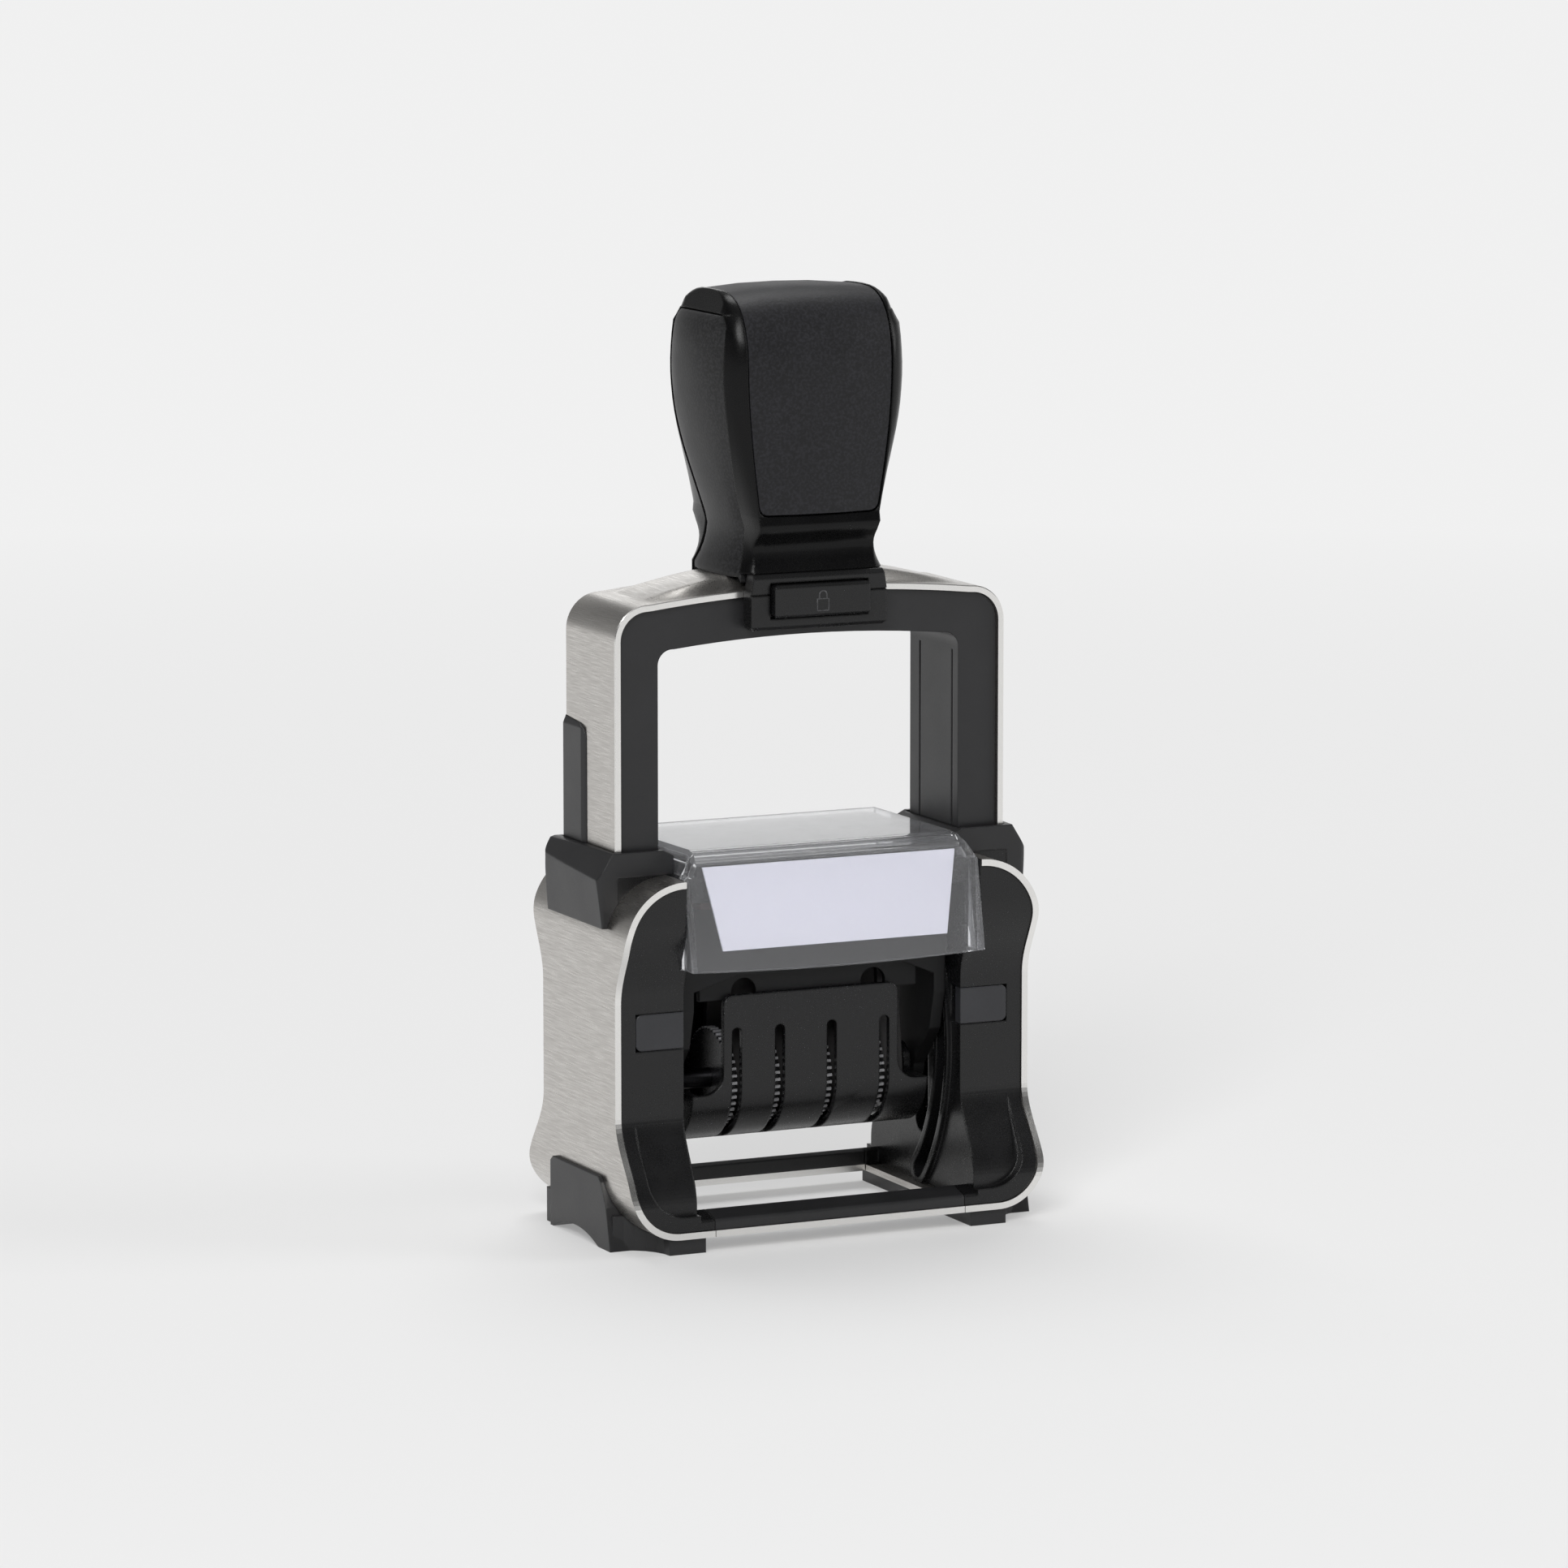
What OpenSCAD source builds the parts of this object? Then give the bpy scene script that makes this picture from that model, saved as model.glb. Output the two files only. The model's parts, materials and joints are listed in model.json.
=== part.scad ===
// Self-inking date stamp with a steel body, a loop handle and a date unit that turns over.
// Millimetres. X runs across the front, the front faces -Y, Z is up and the feet stand on z = 0.

/* [Body] */
// Width over the steel band's flat sides
body_w = 70; // [66:1:76]
// Height of the band's top edge above the desk
body_h = 57; // [55:0.5:60]
// Height of the band's underside above the desk
foot_h = 2.4; // [1.6:0.2:4]
// Thickness of the body's steel band
band_t = 1; // [0.6:0.1:1.2]
// Radius of the band's upper corners
band_top_r = 10; // [9:0.5:11]
// Radius of the band's lower corners
band_low_r = 8; // [6:0.5:9]
// Half depth of the band at the desk
foot_reach = 20; // [19:0.5:22]
// Half depth of the band at its waist
waist_reach = 13.65; // [12.5:0.25:14.5]
// Half depth of the band at the top
top_reach = 17.8; // [17:0.25:19]
// Wall of the columns towards the date unit
column_wall = 1.4; // [1.2:0.1:1.6]
// Width of the sill between each column's inner face and the imprint window
sill_w = 2.3; // [1.6:0.1:3.4]
// Depth of the bars in front of and behind the imprint window
bar_d = 4.5; // [3.5:0.25:5]

/* [Handle] */
// How far each steel leg stands inside the band's flat side
leg_inset = 2.1; // [1.9:0.1:3]
// Width of each leg across its steel and its black frame
leg_w = 7.5; // [7.2:0.1:8]
// Play between a leg and the column's inner wall
leg_play = 0.5; // [0.3:0.05:0.8]
// Depth of the handle's steel strip
handle_d = 18.4; // [17:0.2:18.8]
// Thickness of the handle's steel strip
strip_t = 1; // [0.6:0.1:1.2]
// Height of the finger window's upper corners above the desk
finger_top = 91.2; // [90:0.2:94]
// Height of the handle's crown above the desk
crown_z = 99.9; // [99:0.1:101]
// Rise of the crown over the handle's upper edge
crown_rise = 1.6; // [1:0.1:2]
// Radius of the handle's steel corners
handle_r = 5.5; // [4:0.5:7]
// How far the side rails stand proud of the steel
rail_proud = 0.5; // [0.3:0.05:0.6]

/* [Grip] */
// Height of the top of the grip above the desk
grip_top = 145.4; // [140:0.2:152]
// Half width of the grip's neck
neck_half = 10.5; // [9.5:0.25:11.5]
// How much wider each side of the grip is than its neck
grip_swell = 4.7; // [3:0.1:6]
// Half depth of the grip
grip_reach = 13; // [12:0.25:14]
// Thickness of the inlaid panel
panel_t = 1.6; // [1.2:0.1:2]
// How much the panel's middle stands proud of its edges
panel_crown = 0.5; // [0.2:0.1:0.8]
// Thickness of the soft side shells at their edges
shell_t = 1.3; // [1:0.1:1.8]
// Half width of the lock's collar
collar_half = 11.4; // [10.5:0.2:12]
// Width of the lock button
button_w = 16; // [14:0.5:18]
// Height of the lock button
button_h = 5; // [4:0.25:5.5]

/* [Stroke] */
// How far the ink pad's face lies under the band's top edge
pad_drop = 3; // [2.6:0.1:3.4]
// Distance from the turning pivot to the type face
type_r = 13.5; // [13:0.1:13.8]
// Distance from the turning pivot to the guide pins
guide_reach = 8; // [7.8:0.1:8.2]
// Radius of the pivot pins
pivot_r = 2; // [1.6:0.1:2.2]
// Radius of the guide pins
guide_r = 1.3; // [1:0.1:1.4]
// Distance from the turning pivot to the setting wheels' axle
wheel_drop = 16.5; // [16:0.25:17.5]

/* [Date unit] */
// How far each end of the text plate stands inside the columns
plate_inset = 3; // [2.8:0.1:4]
// Depth of the text plate
plate_d = 24; // [22:0.5:24.5]
// Tip radius of the toothed setting wheels
wheel_r = 7.9; // [7.4:0.1:8.1]
// Teeth on each setting wheel
wheel_teeth = 44; // [30:1:52]
// Width of the toothed rim
rim_w = 1.3; // [1:0.1:1.5]
// Width of each date band
date_band_w = 3.6; // [3:0.1:3.9]
// Outer radius of the wheel guard
guard_r = 9.2; // [9:0.1:9.6]
// Wall of the wheel guard
guard_t = 1; // [0.8:0.1:1.1]
// Width of each ear beside the guard's flat upper part
ear_w = 5.2; // [4.6:0.1:5.6]

/* [Cover and ink] */
// Thickness of the clear cover
cover_t = 1.2; // [1:0.1:1.5]
// Height of the clear cover's top over the band's top edge
cover_rise = 4; // [3.6:0.1:5]
// Play between the cover's ends and the ends of the steel band
cover_play = 0.2; // [0.1:0.05:0.5]
// Height of the ink pad over the resting type face
ink_gap = 1; // [0.8:0.1:1.4]

/* [Springs] */
// Mean radius of the return springs
spring_r = 2.1; // [1.8:0.1:2.2]
// Radius of the spring wire
wire_r = 0.4; // [0.3:0.05:0.45]
// Turns of each return spring
spring_turns = 18; // [12:1:20]

/* [Hidden] */
$fn = 64;

// Clearances: a sliding fit, a running fit, a seam between fixed pieces, and a pin pressed into its hole
slide_gap = 0.25;
run_gap = 0.06;
seam_gap = 0.1;
press_gap = 0.02;
// Larger than anything that is cut
far = 200;

// Colours
steel = [0.80, 0.79, 0.77];
black = [0.10, 0.10, 0.11];
charcoal = [0.20, 0.20, 0.22];
clear = [0.85, 0.87, 0.90, 0.35];
white = [0.90, 0.91, 0.95];
ink = [0.12, 0.12, 0.30];
rubber = [0.25, 0.22, 0.22];

// Side outline of the body: the bulge at the base ends at low_a, the waist runs from low_b to top_a,
// and the upper bulge starts at top_b
low_a = 7;
low_b = 20.5;
top_a = 38;
top_b = 50.5;
function ease(t) = (1 - cos(180 * min(max(t, 0), 1))) / 2;
function reach(z) = z < low_b
    ? foot_reach + (waist_reach - foot_reach) * ease((z - low_a) / (low_b - low_a))
    : waist_reach + (top_reach - waist_reach) * ease((z - top_a) / (top_b - top_a));
outline_steps = 20;
outline_z = concat([0], [for (i = [0 : outline_steps]) low_a + (low_b - low_a) * i / outline_steps],
    [for (i = [0 : outline_steps]) top_a + (top_b - top_a) * i / outline_steps], [far]);

// Levels and half widths that follow from the sizes above
handle_w = body_w - 2 * leg_inset;
finger_w = handle_w - 2 * leg_w;
bay_w = finger_w - 2 * (leg_play + column_wall);
window_w = bay_w - 2 * sill_w;
plate_w = bay_w - 2 * plate_inset;
band_half = body_w / 2;
column_half = band_half - band_t;
bay_half = bay_w / 2;
base_z = foot_h + band_t;
window_half = window_w / 2;
side_play = 1.2;
side_t = 1.9;
plate_out = bay_half - side_play;
plate_in = plate_out - side_t;
ear_play = 0.4;
ear_half = plate_in - ear_play;
guard_half = ear_half - ear_w;
leg_half = handle_w / 2;
leg_inner = finger_w / 2;
frame_half = leg_half - strip_t;
leg_depth = handle_d / 2;
frame_step = 0.8;
frame_depth = leg_depth - frame_step;
// The handle travels until the type, turned over on its pivots, meets the desk
pad_z = body_h - pad_drop;
travel = pad_z - ink_gap - 2 * type_r;
pivot_z = type_r + travel;
type_z = pivot_z + type_r;
wheel_z = pivot_z - wheel_drop;
shaft_depth = leg_depth + slide_gap;
leg_x = (leg_inner + frame_half) / 2;
spring_y = 5.2;
spring_foot = base_z + 1.5;
leg_bottom = travel + spring_foot + 0.4;
spring_head = 72;
shoulder_depth = shaft_depth + 0.9;
shoulder_top = body_h + 3.8;
lip_z = body_h - 7.6;
cover_top = body_h + cover_rise;
belt_t = 1;
belt_top_r = 2.9;

// Extrusions along X of a (y, z) outline and along Y of an (x, z) outline, centred
module along_x(w) {
    rotate([90, 0, 90]) linear_extrude(w, center = true) children();
}
module along_y(d) {
    rotate([90, 0, 0]) linear_extrude(d, center = true) children();
}
module pair() {
    children();
    mirror([1, 0, 0]) children();
}

// An upright plate with round corners, from z = low to z = high
module round_plate(half, low, high, top_r, low_r) {
    translate([-half, low + low_r]) square([2 * half, high - low - top_r - low_r]);
    translate([-half + top_r, high - top_r]) square([2 * (half - top_r), top_r]);
    translate([-half + low_r, low]) square([2 * (half - low_r), low_r]);
    for (side = [-1, 1]) {
        translate([side * (half - top_r), high - top_r]) circle(top_r);
        translate([side * (half - low_r), low + low_r]) circle(low_r);
    }
}
module round_box_2d(x0, x1, y0, y1, r) {
    translate([x0 + r, y0]) square([x1 - x0 - 2 * r, y1 - y0]);
    translate([x0, y0 + r]) square([x1 - x0, y1 - y0 - 2 * r]);
    for (x = [x0 + r, x1 - r], y = [y0 + r, y1 - r]) translate([x, y]) circle(r, $fn = 32);
}
module block(x0, x1, y0, y1, z0, z1) {
    translate([x0, y0, z0]) cube([x1 - x0, y1 - y0, z1 - z0]);
}

// The body's outer envelope and the space inside its band
module band_outer(d = far) {
    along_y(d) round_plate(band_half, foot_h, body_h, band_top_r, band_low_r);
}
module band_inner(d = far) {
    along_y(d) round_plate(column_half, base_z, body_h - band_t, band_top_r - band_t, band_low_r - band_t);
}
module side_outline(inset) {
    along_x(far) polygon(concat(
        [for (z = outline_z) [reach(z) - inset, z]],
        [for (i = [len(outline_z) - 1 : -1 : 0]) [inset - reach(outline_z[i]), outline_z[i]]]));
}

// Steel band: a waisted strip bent round each side, from the cover's edge to the imprint window
band_end = bay_half + column_wall;
cover_half = band_end - cover_play;
module side_band() {
    color(steel) difference() {
        intersection() {
            difference() {
                band_outer();
                band_inner(2 * far);
            }
            side_outline(0);
        }
        block(-far, band_end, -far, far, body_h / 2, far);
        block(-far, window_half, -far, far, -1, body_h / 2);
        // Notch for the leg
        block(band_end, far, -shaft_depth, shaft_depth, lip_z + 0.2, far);
    }
}
module band_right() {
    side_band();
}
module band_left() {
    mirror([1, 0, 0]) side_band();
}

// Column: guides a leg, with a slot for the pivot pin and a curved slot that turns the date unit over
column_inset = 0.25;
panel_border = 2.4;
panel_sink = 1.5;
panel_top = 19.2;
panel_edge = 0.12;
rib_h = 0.8;
rib_t = 1;
cam_half = guide_r + 0.12;
cam_steps = 36;
function turn(s) = 180 * s / travel;
function guide_y(s) = -guide_reach * sin(turn(s));
function guide_z(s) = pivot_z - s + guide_reach * cos(turn(s));
cam_path = [for (i = [0 : cam_steps]) let (s = travel * i / cam_steps) [guide_y(s), guide_z(s)]];
cap_steps = 10;
function cam_way(i) = let (d = cam_path[min(i + 1, cam_steps)] - cam_path[max(i - 1, 0)]) d / norm(d);
function cam_normal(i) = [cam_way(i)[1], -cam_way(i)[0]];
function cam_cap(i, way, half) = [for (k = [1 : cap_steps - 1]) let (a = 180 * k / cap_steps - 90)
    cam_path[i] + way * half * (cam_way(i) * cos(a) - cam_normal(i) * sin(a))];
module cam_slot_2d(half = cam_half) {
    polygon(concat(
        [for (i = [0 : cam_steps]) cam_path[i] + half * cam_normal(i)],
        cam_cap(cam_steps, 1, half),
        [for (i = [cam_steps : -1 : 0]) cam_path[i] - half * cam_normal(i)],
        cam_cap(0, -1, half)));
}
pivot_slot_half = pivot_r + 0.15;
module pivot_slot_2d() {
    for (z = [pivot_z, pivot_z - travel]) translate([0, z]) circle(pivot_slot_half);
    translate([-pivot_slot_half, pivot_z - travel]) square([2 * pivot_slot_half, travel]);
}

// Section of the bars across the base, which runs on into the columns
bar_front_z = 5.1;
bar_rear_z = 6;
module bar_2d() {
    front = column_inset - foot_reach;
    back = bar_d - foot_reach;
    polygon([[front, base_z], [front, bar_front_z - 0.3], [front + 0.3, bar_front_z],
        [back - 0.6, bar_rear_z], [back, bar_rear_z - 0.5], [back, base_z]]);
}

// Catch window in the column's front face
catch_low = 30.7;
catch_high = 36.3;
catch_out = band_half - 3.6;
catch_t = 1.8;
catch_travel = 1.2;
catch_face = waist_reach - column_inset;
module column() {
    color(black) difference() {
        union() {
            column_blank();
            // Rib round the curved slot, towards the date unit
            intersection() {
                translate([bay_half, 0, 0]) along_x(2 * rib_h) cam_slot_2d(cam_half + rib_t);
                block(0, far, -far, far, base_z, far);
            }
        }
        // Shaft for the leg, with a floor that carries the spring
        block(band_end, far, -shaft_depth, shaft_depth, spring_foot, far);
        translate([bay_half, 0, 0]) along_x(4 * column_wall) pivot_slot_2d();
        translate([bay_half, 0, 0]) along_x(4 * column_wall) cam_slot_2d();
        // Panel that sinks away inside a border that follows the band's lower corner
        intersection() {
            along_y(far) round_plate(column_half - panel_border, base_z + panel_border, far,
                band_low_r - band_t, band_low_r - panel_border);
            difference() {
                block(0, far, -far, far, 0, panel_top);
                panel_outline();
            }
        }
        // Window that the catch fills, with room behind for its travel
        block(0, catch_out + seam_gap, -far, catch_t + catch_travel + 0.3 - catch_face,
            catch_low - seam_gap, catch_high + seam_gap);
        // Room for the clear cover's front
        block(0, cover_half + seam_gap, -far, cover_edge_y + 2 + seam_gap, cover_low - seam_gap, far);
    }
}
module column_blank() {
    intersection() {
        union() {
            band_inner();
            band_outer_core();
        }
        side_outline(column_inset);
        union() {
            block(bay_half, far, -far, far, 0, far);
            for (side = [0, 1]) mirror([0, side, 0]) intersection() {
                along_x(2 * far) bar_2d();
                block(window_half, bay_half + 1, -far, far, 0, far);
            }
        }
    }
}
// The panel's face, ever deeper towards the base
function panel_depth(z) = reach(z) - column_inset - panel_edge
    - (panel_sink - panel_edge) * ease((panel_top - z) / (panel_top - low_a));
module panel_outline() {
    z_list = concat([for (z = outline_z) if (z < panel_top) z], [panel_top + 0.1]);
    along_x(2 * far) polygon(concat([for (z = z_list) [panel_depth(z), z]],
        [for (i = [len(z_list) - 1 : -1 : 0]) [-panel_depth(z_list[i]), z_list[i]]]));
}
module band_outer_core() {
    block(bay_half, band_end, -far, far, body_h / 2, body_h);
}
module column_right() {
    column();
}
module column_left() {
    mirror([1, 0, 0]) column();
}

// Catch: a flush block that fills its window and wraps round the column's inner edge
module catch() {
    color(black) intersection() {
        block(bay_half, catch_out, -catch_face, catch_t - catch_face, catch_low, catch_high);
        along_y(far) round_box_2d(0, catch_out, catch_low, catch_high, 1);
    }
}
module catch_right() {
    catch();
}
module catch_left() {
    mirror([1, 0, 0]) catch();
}

// Bars across the base in front of and behind the imprint window, and the steel strips under them
module base_bar() {
    color(black) along_x(window_w - 2 * seam_gap) bar_2d();
}
module front_bar() {
    base_bar();
}
module rear_bar() {
    mirror([0, 1, 0]) base_bar();
}
module base_strip() {
    color(steel) block(seam_gap - window_half, window_half - seam_gap,
        -foot_reach, bar_d - foot_reach, foot_h, base_z);
}
module front_strip() {
    base_strip();
}
module rear_strip() {
    mirror([0, 1, 0]) base_strip();
}

// Foot: wraps the band's lower corner, arched along its underside between two pads
foot_out = 0.7;
foot_side_z = 11;
foot_side_half = 9.6;
foot_base_half = 13.2;
foot_end = window_half + 1.3;
foot_pad_reach = 19.3;
foot_arch = 1.8;
foot_sweep = 6.5;
sweep_steps = 6;
// Pad in plan: a hollow sweep leads from the side plate in to the front
module foot_pad_2d() {
    back = 1 - foot_side_half;
    toe = foot_side_half + 3 - foot_pad_reach;
    polygon(concat([[foot_end, back], [foot_end, -foot_pad_reach], [band_half - foot_sweep, -foot_pad_reach]],
        [for (i = [1 : sweep_steps]) let (a = 90 * i / sweep_steps)
            [band_half - foot_sweep * cos(a), toe * (1 - sin(a)) - foot_side_half - 3]],
        [[band_half, back]]));
}
module foot() {
    arch_half = foot_side_half - 1;
    arch_r = (arch_half * arch_half + foot_arch * foot_arch) / (2 * foot_arch);
    color(black) difference() {
        union() {
            intersection() {
                translate([band_half + foot_out - far / 2, 0, 0]) along_x(far) polygon([
                    [-foot_base_half, 0], [foot_side_half, 0], [foot_side_half, foot_side_z - 0.8],
                    [foot_side_half - 1, foot_side_z],
                    [1 - foot_side_half, foot_side_z], [-foot_side_half, foot_side_z - 0.8],
                    [-foot_side_half - 2, foot_side_z - 4.5]]);
                block(foot_end, far, -far, far, 0, far);
            }
            for (side = [0, 1]) mirror([0, side, 0]) linear_extrude(foot_h + 3) foot_pad_2d();
        }
        band_outer(2 * far);
        translate([0, 0, foot_arch - arch_r]) along_x(2 * far) circle(arch_r, $fn = 128);
    }
}
module foot_right() {
    foot();
}
module foot_left() {
    mirror([1, 0, 0]) foot();
}

// Shoulder: the cap that a leg slides through, seated on the band's upper corner
shoulder_in = bay_half + 0.2;
lip_out = 0.6;
crease_out = 1.4;
crease_z = body_h + 0.6;
crease_tilt = 5;
module shoulder() {
    color(black) difference() {
        intersection() {
            along_y(far) polygon([[shoulder_in, body_h], [shoulder_in, shoulder_top - 0.9],
                [leg_inner, shoulder_top], [band_half - 0.6, shoulder_top],
                [band_half + crease_out, shoulder_top - 0.6], [band_half + crease_out, crease_z],
                [band_half + lip_out, lip_z], [leg_half, lip_z], [leg_half, body_h]]);
            linear_extrude(far) round_box_2d(0, band_half + crease_out, -shoulder_depth, shoulder_depth, 1.2);
        }
        band_outer(2 * far);
        // Bevel over the crease, lower towards the front
        translate([band_half + crease_out, 0, crease_z]) rotate([crease_tilt, 0, 0]) rotate([0, -32, 0])
            translate([0, -far / 2, 0]) cube(far);
        leg_passage();
    }
}
module leg_passage() {
    block(leg_inner - slide_gap, leg_half + slide_gap, -shaft_depth, shaft_depth, 0, far);
    block(leg_half, leg_half + rail_proud + slide_gap, rail_front - slide_gap, shaft_depth, 0, far);
}
module shoulder_right() {
    shoulder();
}
module shoulder_left() {
    mirror([1, 0, 0]) shoulder();
}

// Deck over the date unit: two walls with ledges for the ink cassette, a front wall and a roof
deck_top = cover_top - cover_t - 0.9;
roof_t = 1;
tray_top = deck_top - roof_t - 0.3;
tray_half = bay_half - 2.3;
tray_rear = 16.2;
tray_front = -13;
ledge_t = 1;
ledge_half = plate_w / 2 + 0.3;
deck_wall_half = tray_half + 0.3;
deck_upper_half = bay_half - 1.5;
deck_front = tray_front - 0.2 - 1.2;
module pad_deck() {
    low = pad_z - ledge_t;
    color(black) {
        pair() {
            block(deck_wall_half, bay_half, deck_front, tray_rear - 0.4, low, body_h);
            block(deck_wall_half, deck_upper_half, deck_front, tray_rear - 0.4, low, deck_top);
            block(ledge_half, deck_wall_half + 0.1, deck_front, tray_rear - 0.4, low, pad_z);
        }
        block(-bay_half, bay_half, deck_front, deck_front + 1.2, low, body_h);
        block(-deck_upper_half, deck_upper_half, deck_front, deck_front + 1.2, low, deck_top);
        block(-deck_upper_half, deck_upper_half, deck_front, tray_rear - 0.4, deck_top - roof_t, deck_top);
    }
}

// Ink cassette: an open-bottomed tray with a pull lip, and the pad that fills it
tray_roof = 1;
tray_wall = 0.8;
tray_back = 3;
pull_half = 9;
pull_t = 1.8;
pull_rim = 2;
module pad_tray() {
    low = pad_z + 0.1;
    color(charcoal) {
        difference() {
            block(-tray_half, tray_half, tray_front, tray_rear, low, tray_top);
            block(tray_wall - tray_half, tray_half - tray_wall, tray_front + tray_wall, tray_rear - tray_back,
                0, tray_top - tray_roof);
        }
        difference() {
            along_y_from(tray_rear, pull_t) round_box_2d(-pull_half, pull_half, low + 0.4, tray_top, 1.2);
            // Recess for a fingertip, open from below
            block(pull_rim - pull_half, pull_half - pull_rim, tray_rear, tray_rear + 1, 0, tray_top - 0.8);
        }
    }
}
module along_y_from(y0, d) {
    translate([0, y0 + d / 2, 0]) along_y(d) children();
}
module ink_pad() {
    side = tray_half - tray_wall - seam_gap;
    color(ink) block(-side, side, tray_front + tray_wall + seam_gap, tray_rear - tray_back - seam_gap,
        pad_z, tray_top - tray_roof);
}

// Clear cover: a roof on the deck that bends down into a sloping front with bevelled ends
cover_low = 43.2;
cover_bow = 0.6;
cover_rear = 15;
cover_bend_y = -12.5;
cover_edge_y = -16.3;
cover_edge_z = cover_top - 1.5;
cover_front_y = -19.4;
bow_steps = 12;
cover_lean = (cover_edge_y - cover_front_y) / (cover_edge_z - cover_low);
function cover_front(z) = cover_front_y + cover_lean * (z - cover_low);
module cover_profile(inset) {
    bend = cover_edge_z - 0.55 * inset;
    polygon([[cover_rear, -far], [cover_rear, cover_top - 0.3 - inset], [cover_bend_y, cover_top - inset],
        [-14.4 + 0.5 * inset, cover_top - 0.35 - inset], [-15.6 + 0.8 * inset, cover_top - 0.85 - inset],
        [cover_front(bend) + inset, bend], [cover_front(-far) + inset, -far]]);
}
module cover_face(half, bevel_x, bevel_z, inset) {
    polygon(concat(
        [[half - inset, cover_top - bevel_z - 0.4 * inset], [half - bevel_x - 0.5 * inset, cover_top + 1],
            [bevel_x - half + 0.5 * inset, cover_top + 1], [inset - half, cover_top - bevel_z - 0.4 * inset]],
        [for (i = [0 : bow_steps]) let (u = 2 * i / bow_steps - 1)
            [u * (half - inset), cover_low - cover_bow * (1 - u * u) - inset]]));
}
module cover_solid(inset) {
    // Roof between the shoulders
    intersection() {
        along_x(far) cover_profile(inset);
        along_y(far) cover_face(bay_half - seam_gap, 2, 1.6, inset);
        block(-far, far, cover_edge_y + 1.8, far, body_h + 0.05 - inset, far);
    }
    // Front between the ends of the band
    intersection() {
        along_x(far) cover_profile(inset);
        along_y(far) cover_face(cover_half, 3.3, 4, inset);
        block(-far, far, -far, cover_edge_y + 2 + inset, 0, far);
    }
}
module window_cover() {
    color(clear) difference() {
        cover_solid(0);
        cover_solid(cover_t);
        block(-far, far, cover_edge_y + 2 - cover_t, far, 0, body_h + 0.05);
        block(cover_t - bay_half, bay_half - cover_t, 0, far, 0, cover_top - cover_t - 0.3);
    }
}

// White card behind the cover's sloping front
card_high = cover_edge_z - 0.55 * cover_t - 0.3;
card_low = 45.9;
card_top_half = cover_half - 3.4;
card_low_half = cover_half - 5.8;
card_t = 0.35;
module label_card() {
    function back_face(z) = cover_front(z) + cover_t + 0.12;
    color(white) intersection() {
        along_x(far) polygon([[back_face(card_low), card_low], [back_face(card_high), card_high],
            [back_face(card_high) + card_t, card_high], [back_face(card_low) + card_t, card_low]]);
        along_y(far) polygon([[-card_low_half, card_low], [card_low_half, card_low],
            [card_top_half, card_high], [-card_top_half, card_high]]);
    }
}

// Return springs: one unbroken helical wire each
wire_sides = 6;
turn_rings = 8;
spring_rings = spring_turns * turn_rings;
spring_length = spring_head - spring_foot - 2 * wire_r;
spring_pitch = spring_length / spring_turns;
function coil_point(i) = let (a = 360 * i / turn_rings)
    [spring_r * cos(a), spring_r * sin(a), spring_foot + wire_r + spring_length * i / spring_rings];
function coil_ring(i) = let (a = 360 * i / turn_rings, c = coil_point(i))
    [for (k = [0 : wire_sides - 1]) let (b = 360 * k / wire_sides)
        c + wire_r * [cos(b) * cos(a), cos(b) * sin(a), sin(b)]];
module return_spring() {
    points = [for (i = [0 : spring_rings]) each coil_ring(i)];
    last = spring_rings * wire_sides;
    sides = [for (i = [0 : spring_rings - 1], k = [0 : wire_sides - 1])
        let (n = (k + 1) % wire_sides, a = i * wire_sides, b = a + wire_sides)
        each [[a + k, a + n, b + n], [a + k, b + n, b + k]]];
    caps = [for (k = [1 : wire_sides - 2]) each [[0, k + 1, k], [last, last + k, last + k + 1]]];
    color(steel) translate([leg_x, spring_y, 0]) polyhedron(points, concat(sides, caps));
}
echo(spring_least_gap = min([for (i = [0 : spring_rings - turn_rings])
    norm(coil_point(i + turn_rings) - coil_point(i)) - 2 * wire_r]));
module return_spring_right() {
    return_spring();
}
module return_spring_left() {
    mirror([1, 0, 0]) return_spring();
}

// Handle: a steel strip bent into an inverted U, crowned on top, with a pressed dome under the grip
module arch_plate(half, low, high, r, rise, crown_r) {
    translate([-half, low]) square([2 * half, high - r - low]);
    translate([r - half, low]) square([2 * (half - r), high - low]);
    for (side = [-1, 1]) translate([side * (half - r), high - r]) circle(r);
    intersection() {
        translate([r - half, low]) square([2 * (half - r), high + rise - low]);
        translate([0, high + rise - crown_r]) circle(crown_r, $fn = 360);
    }
}
function arc_r(half, rise) = (half * half + rise * rise) / (2 * rise);
// The crown's arc ends a little inside the corners, so that no two arcs end in one point
crown_inset = 0.3;
crown_r = arc_r(leg_half - handle_r - crown_inset, crown_rise);
strip_low = leg_bottom + 4;
arch_z = crown_z - crown_rise;
dome_z = crown_z + 2.4;
dome_rise = 3.7;
dome_half = leg_half - 6.9;
dome_depth = 8.5;
dome_edge_r = 2.4;
dome_steps = 24;
edge_steps = 7;
module handle_arch(inset, low) {
    arch_plate(leg_half - inset, low, arch_z - inset, handle_r - inset, crown_rise, crown_r);
}
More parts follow.
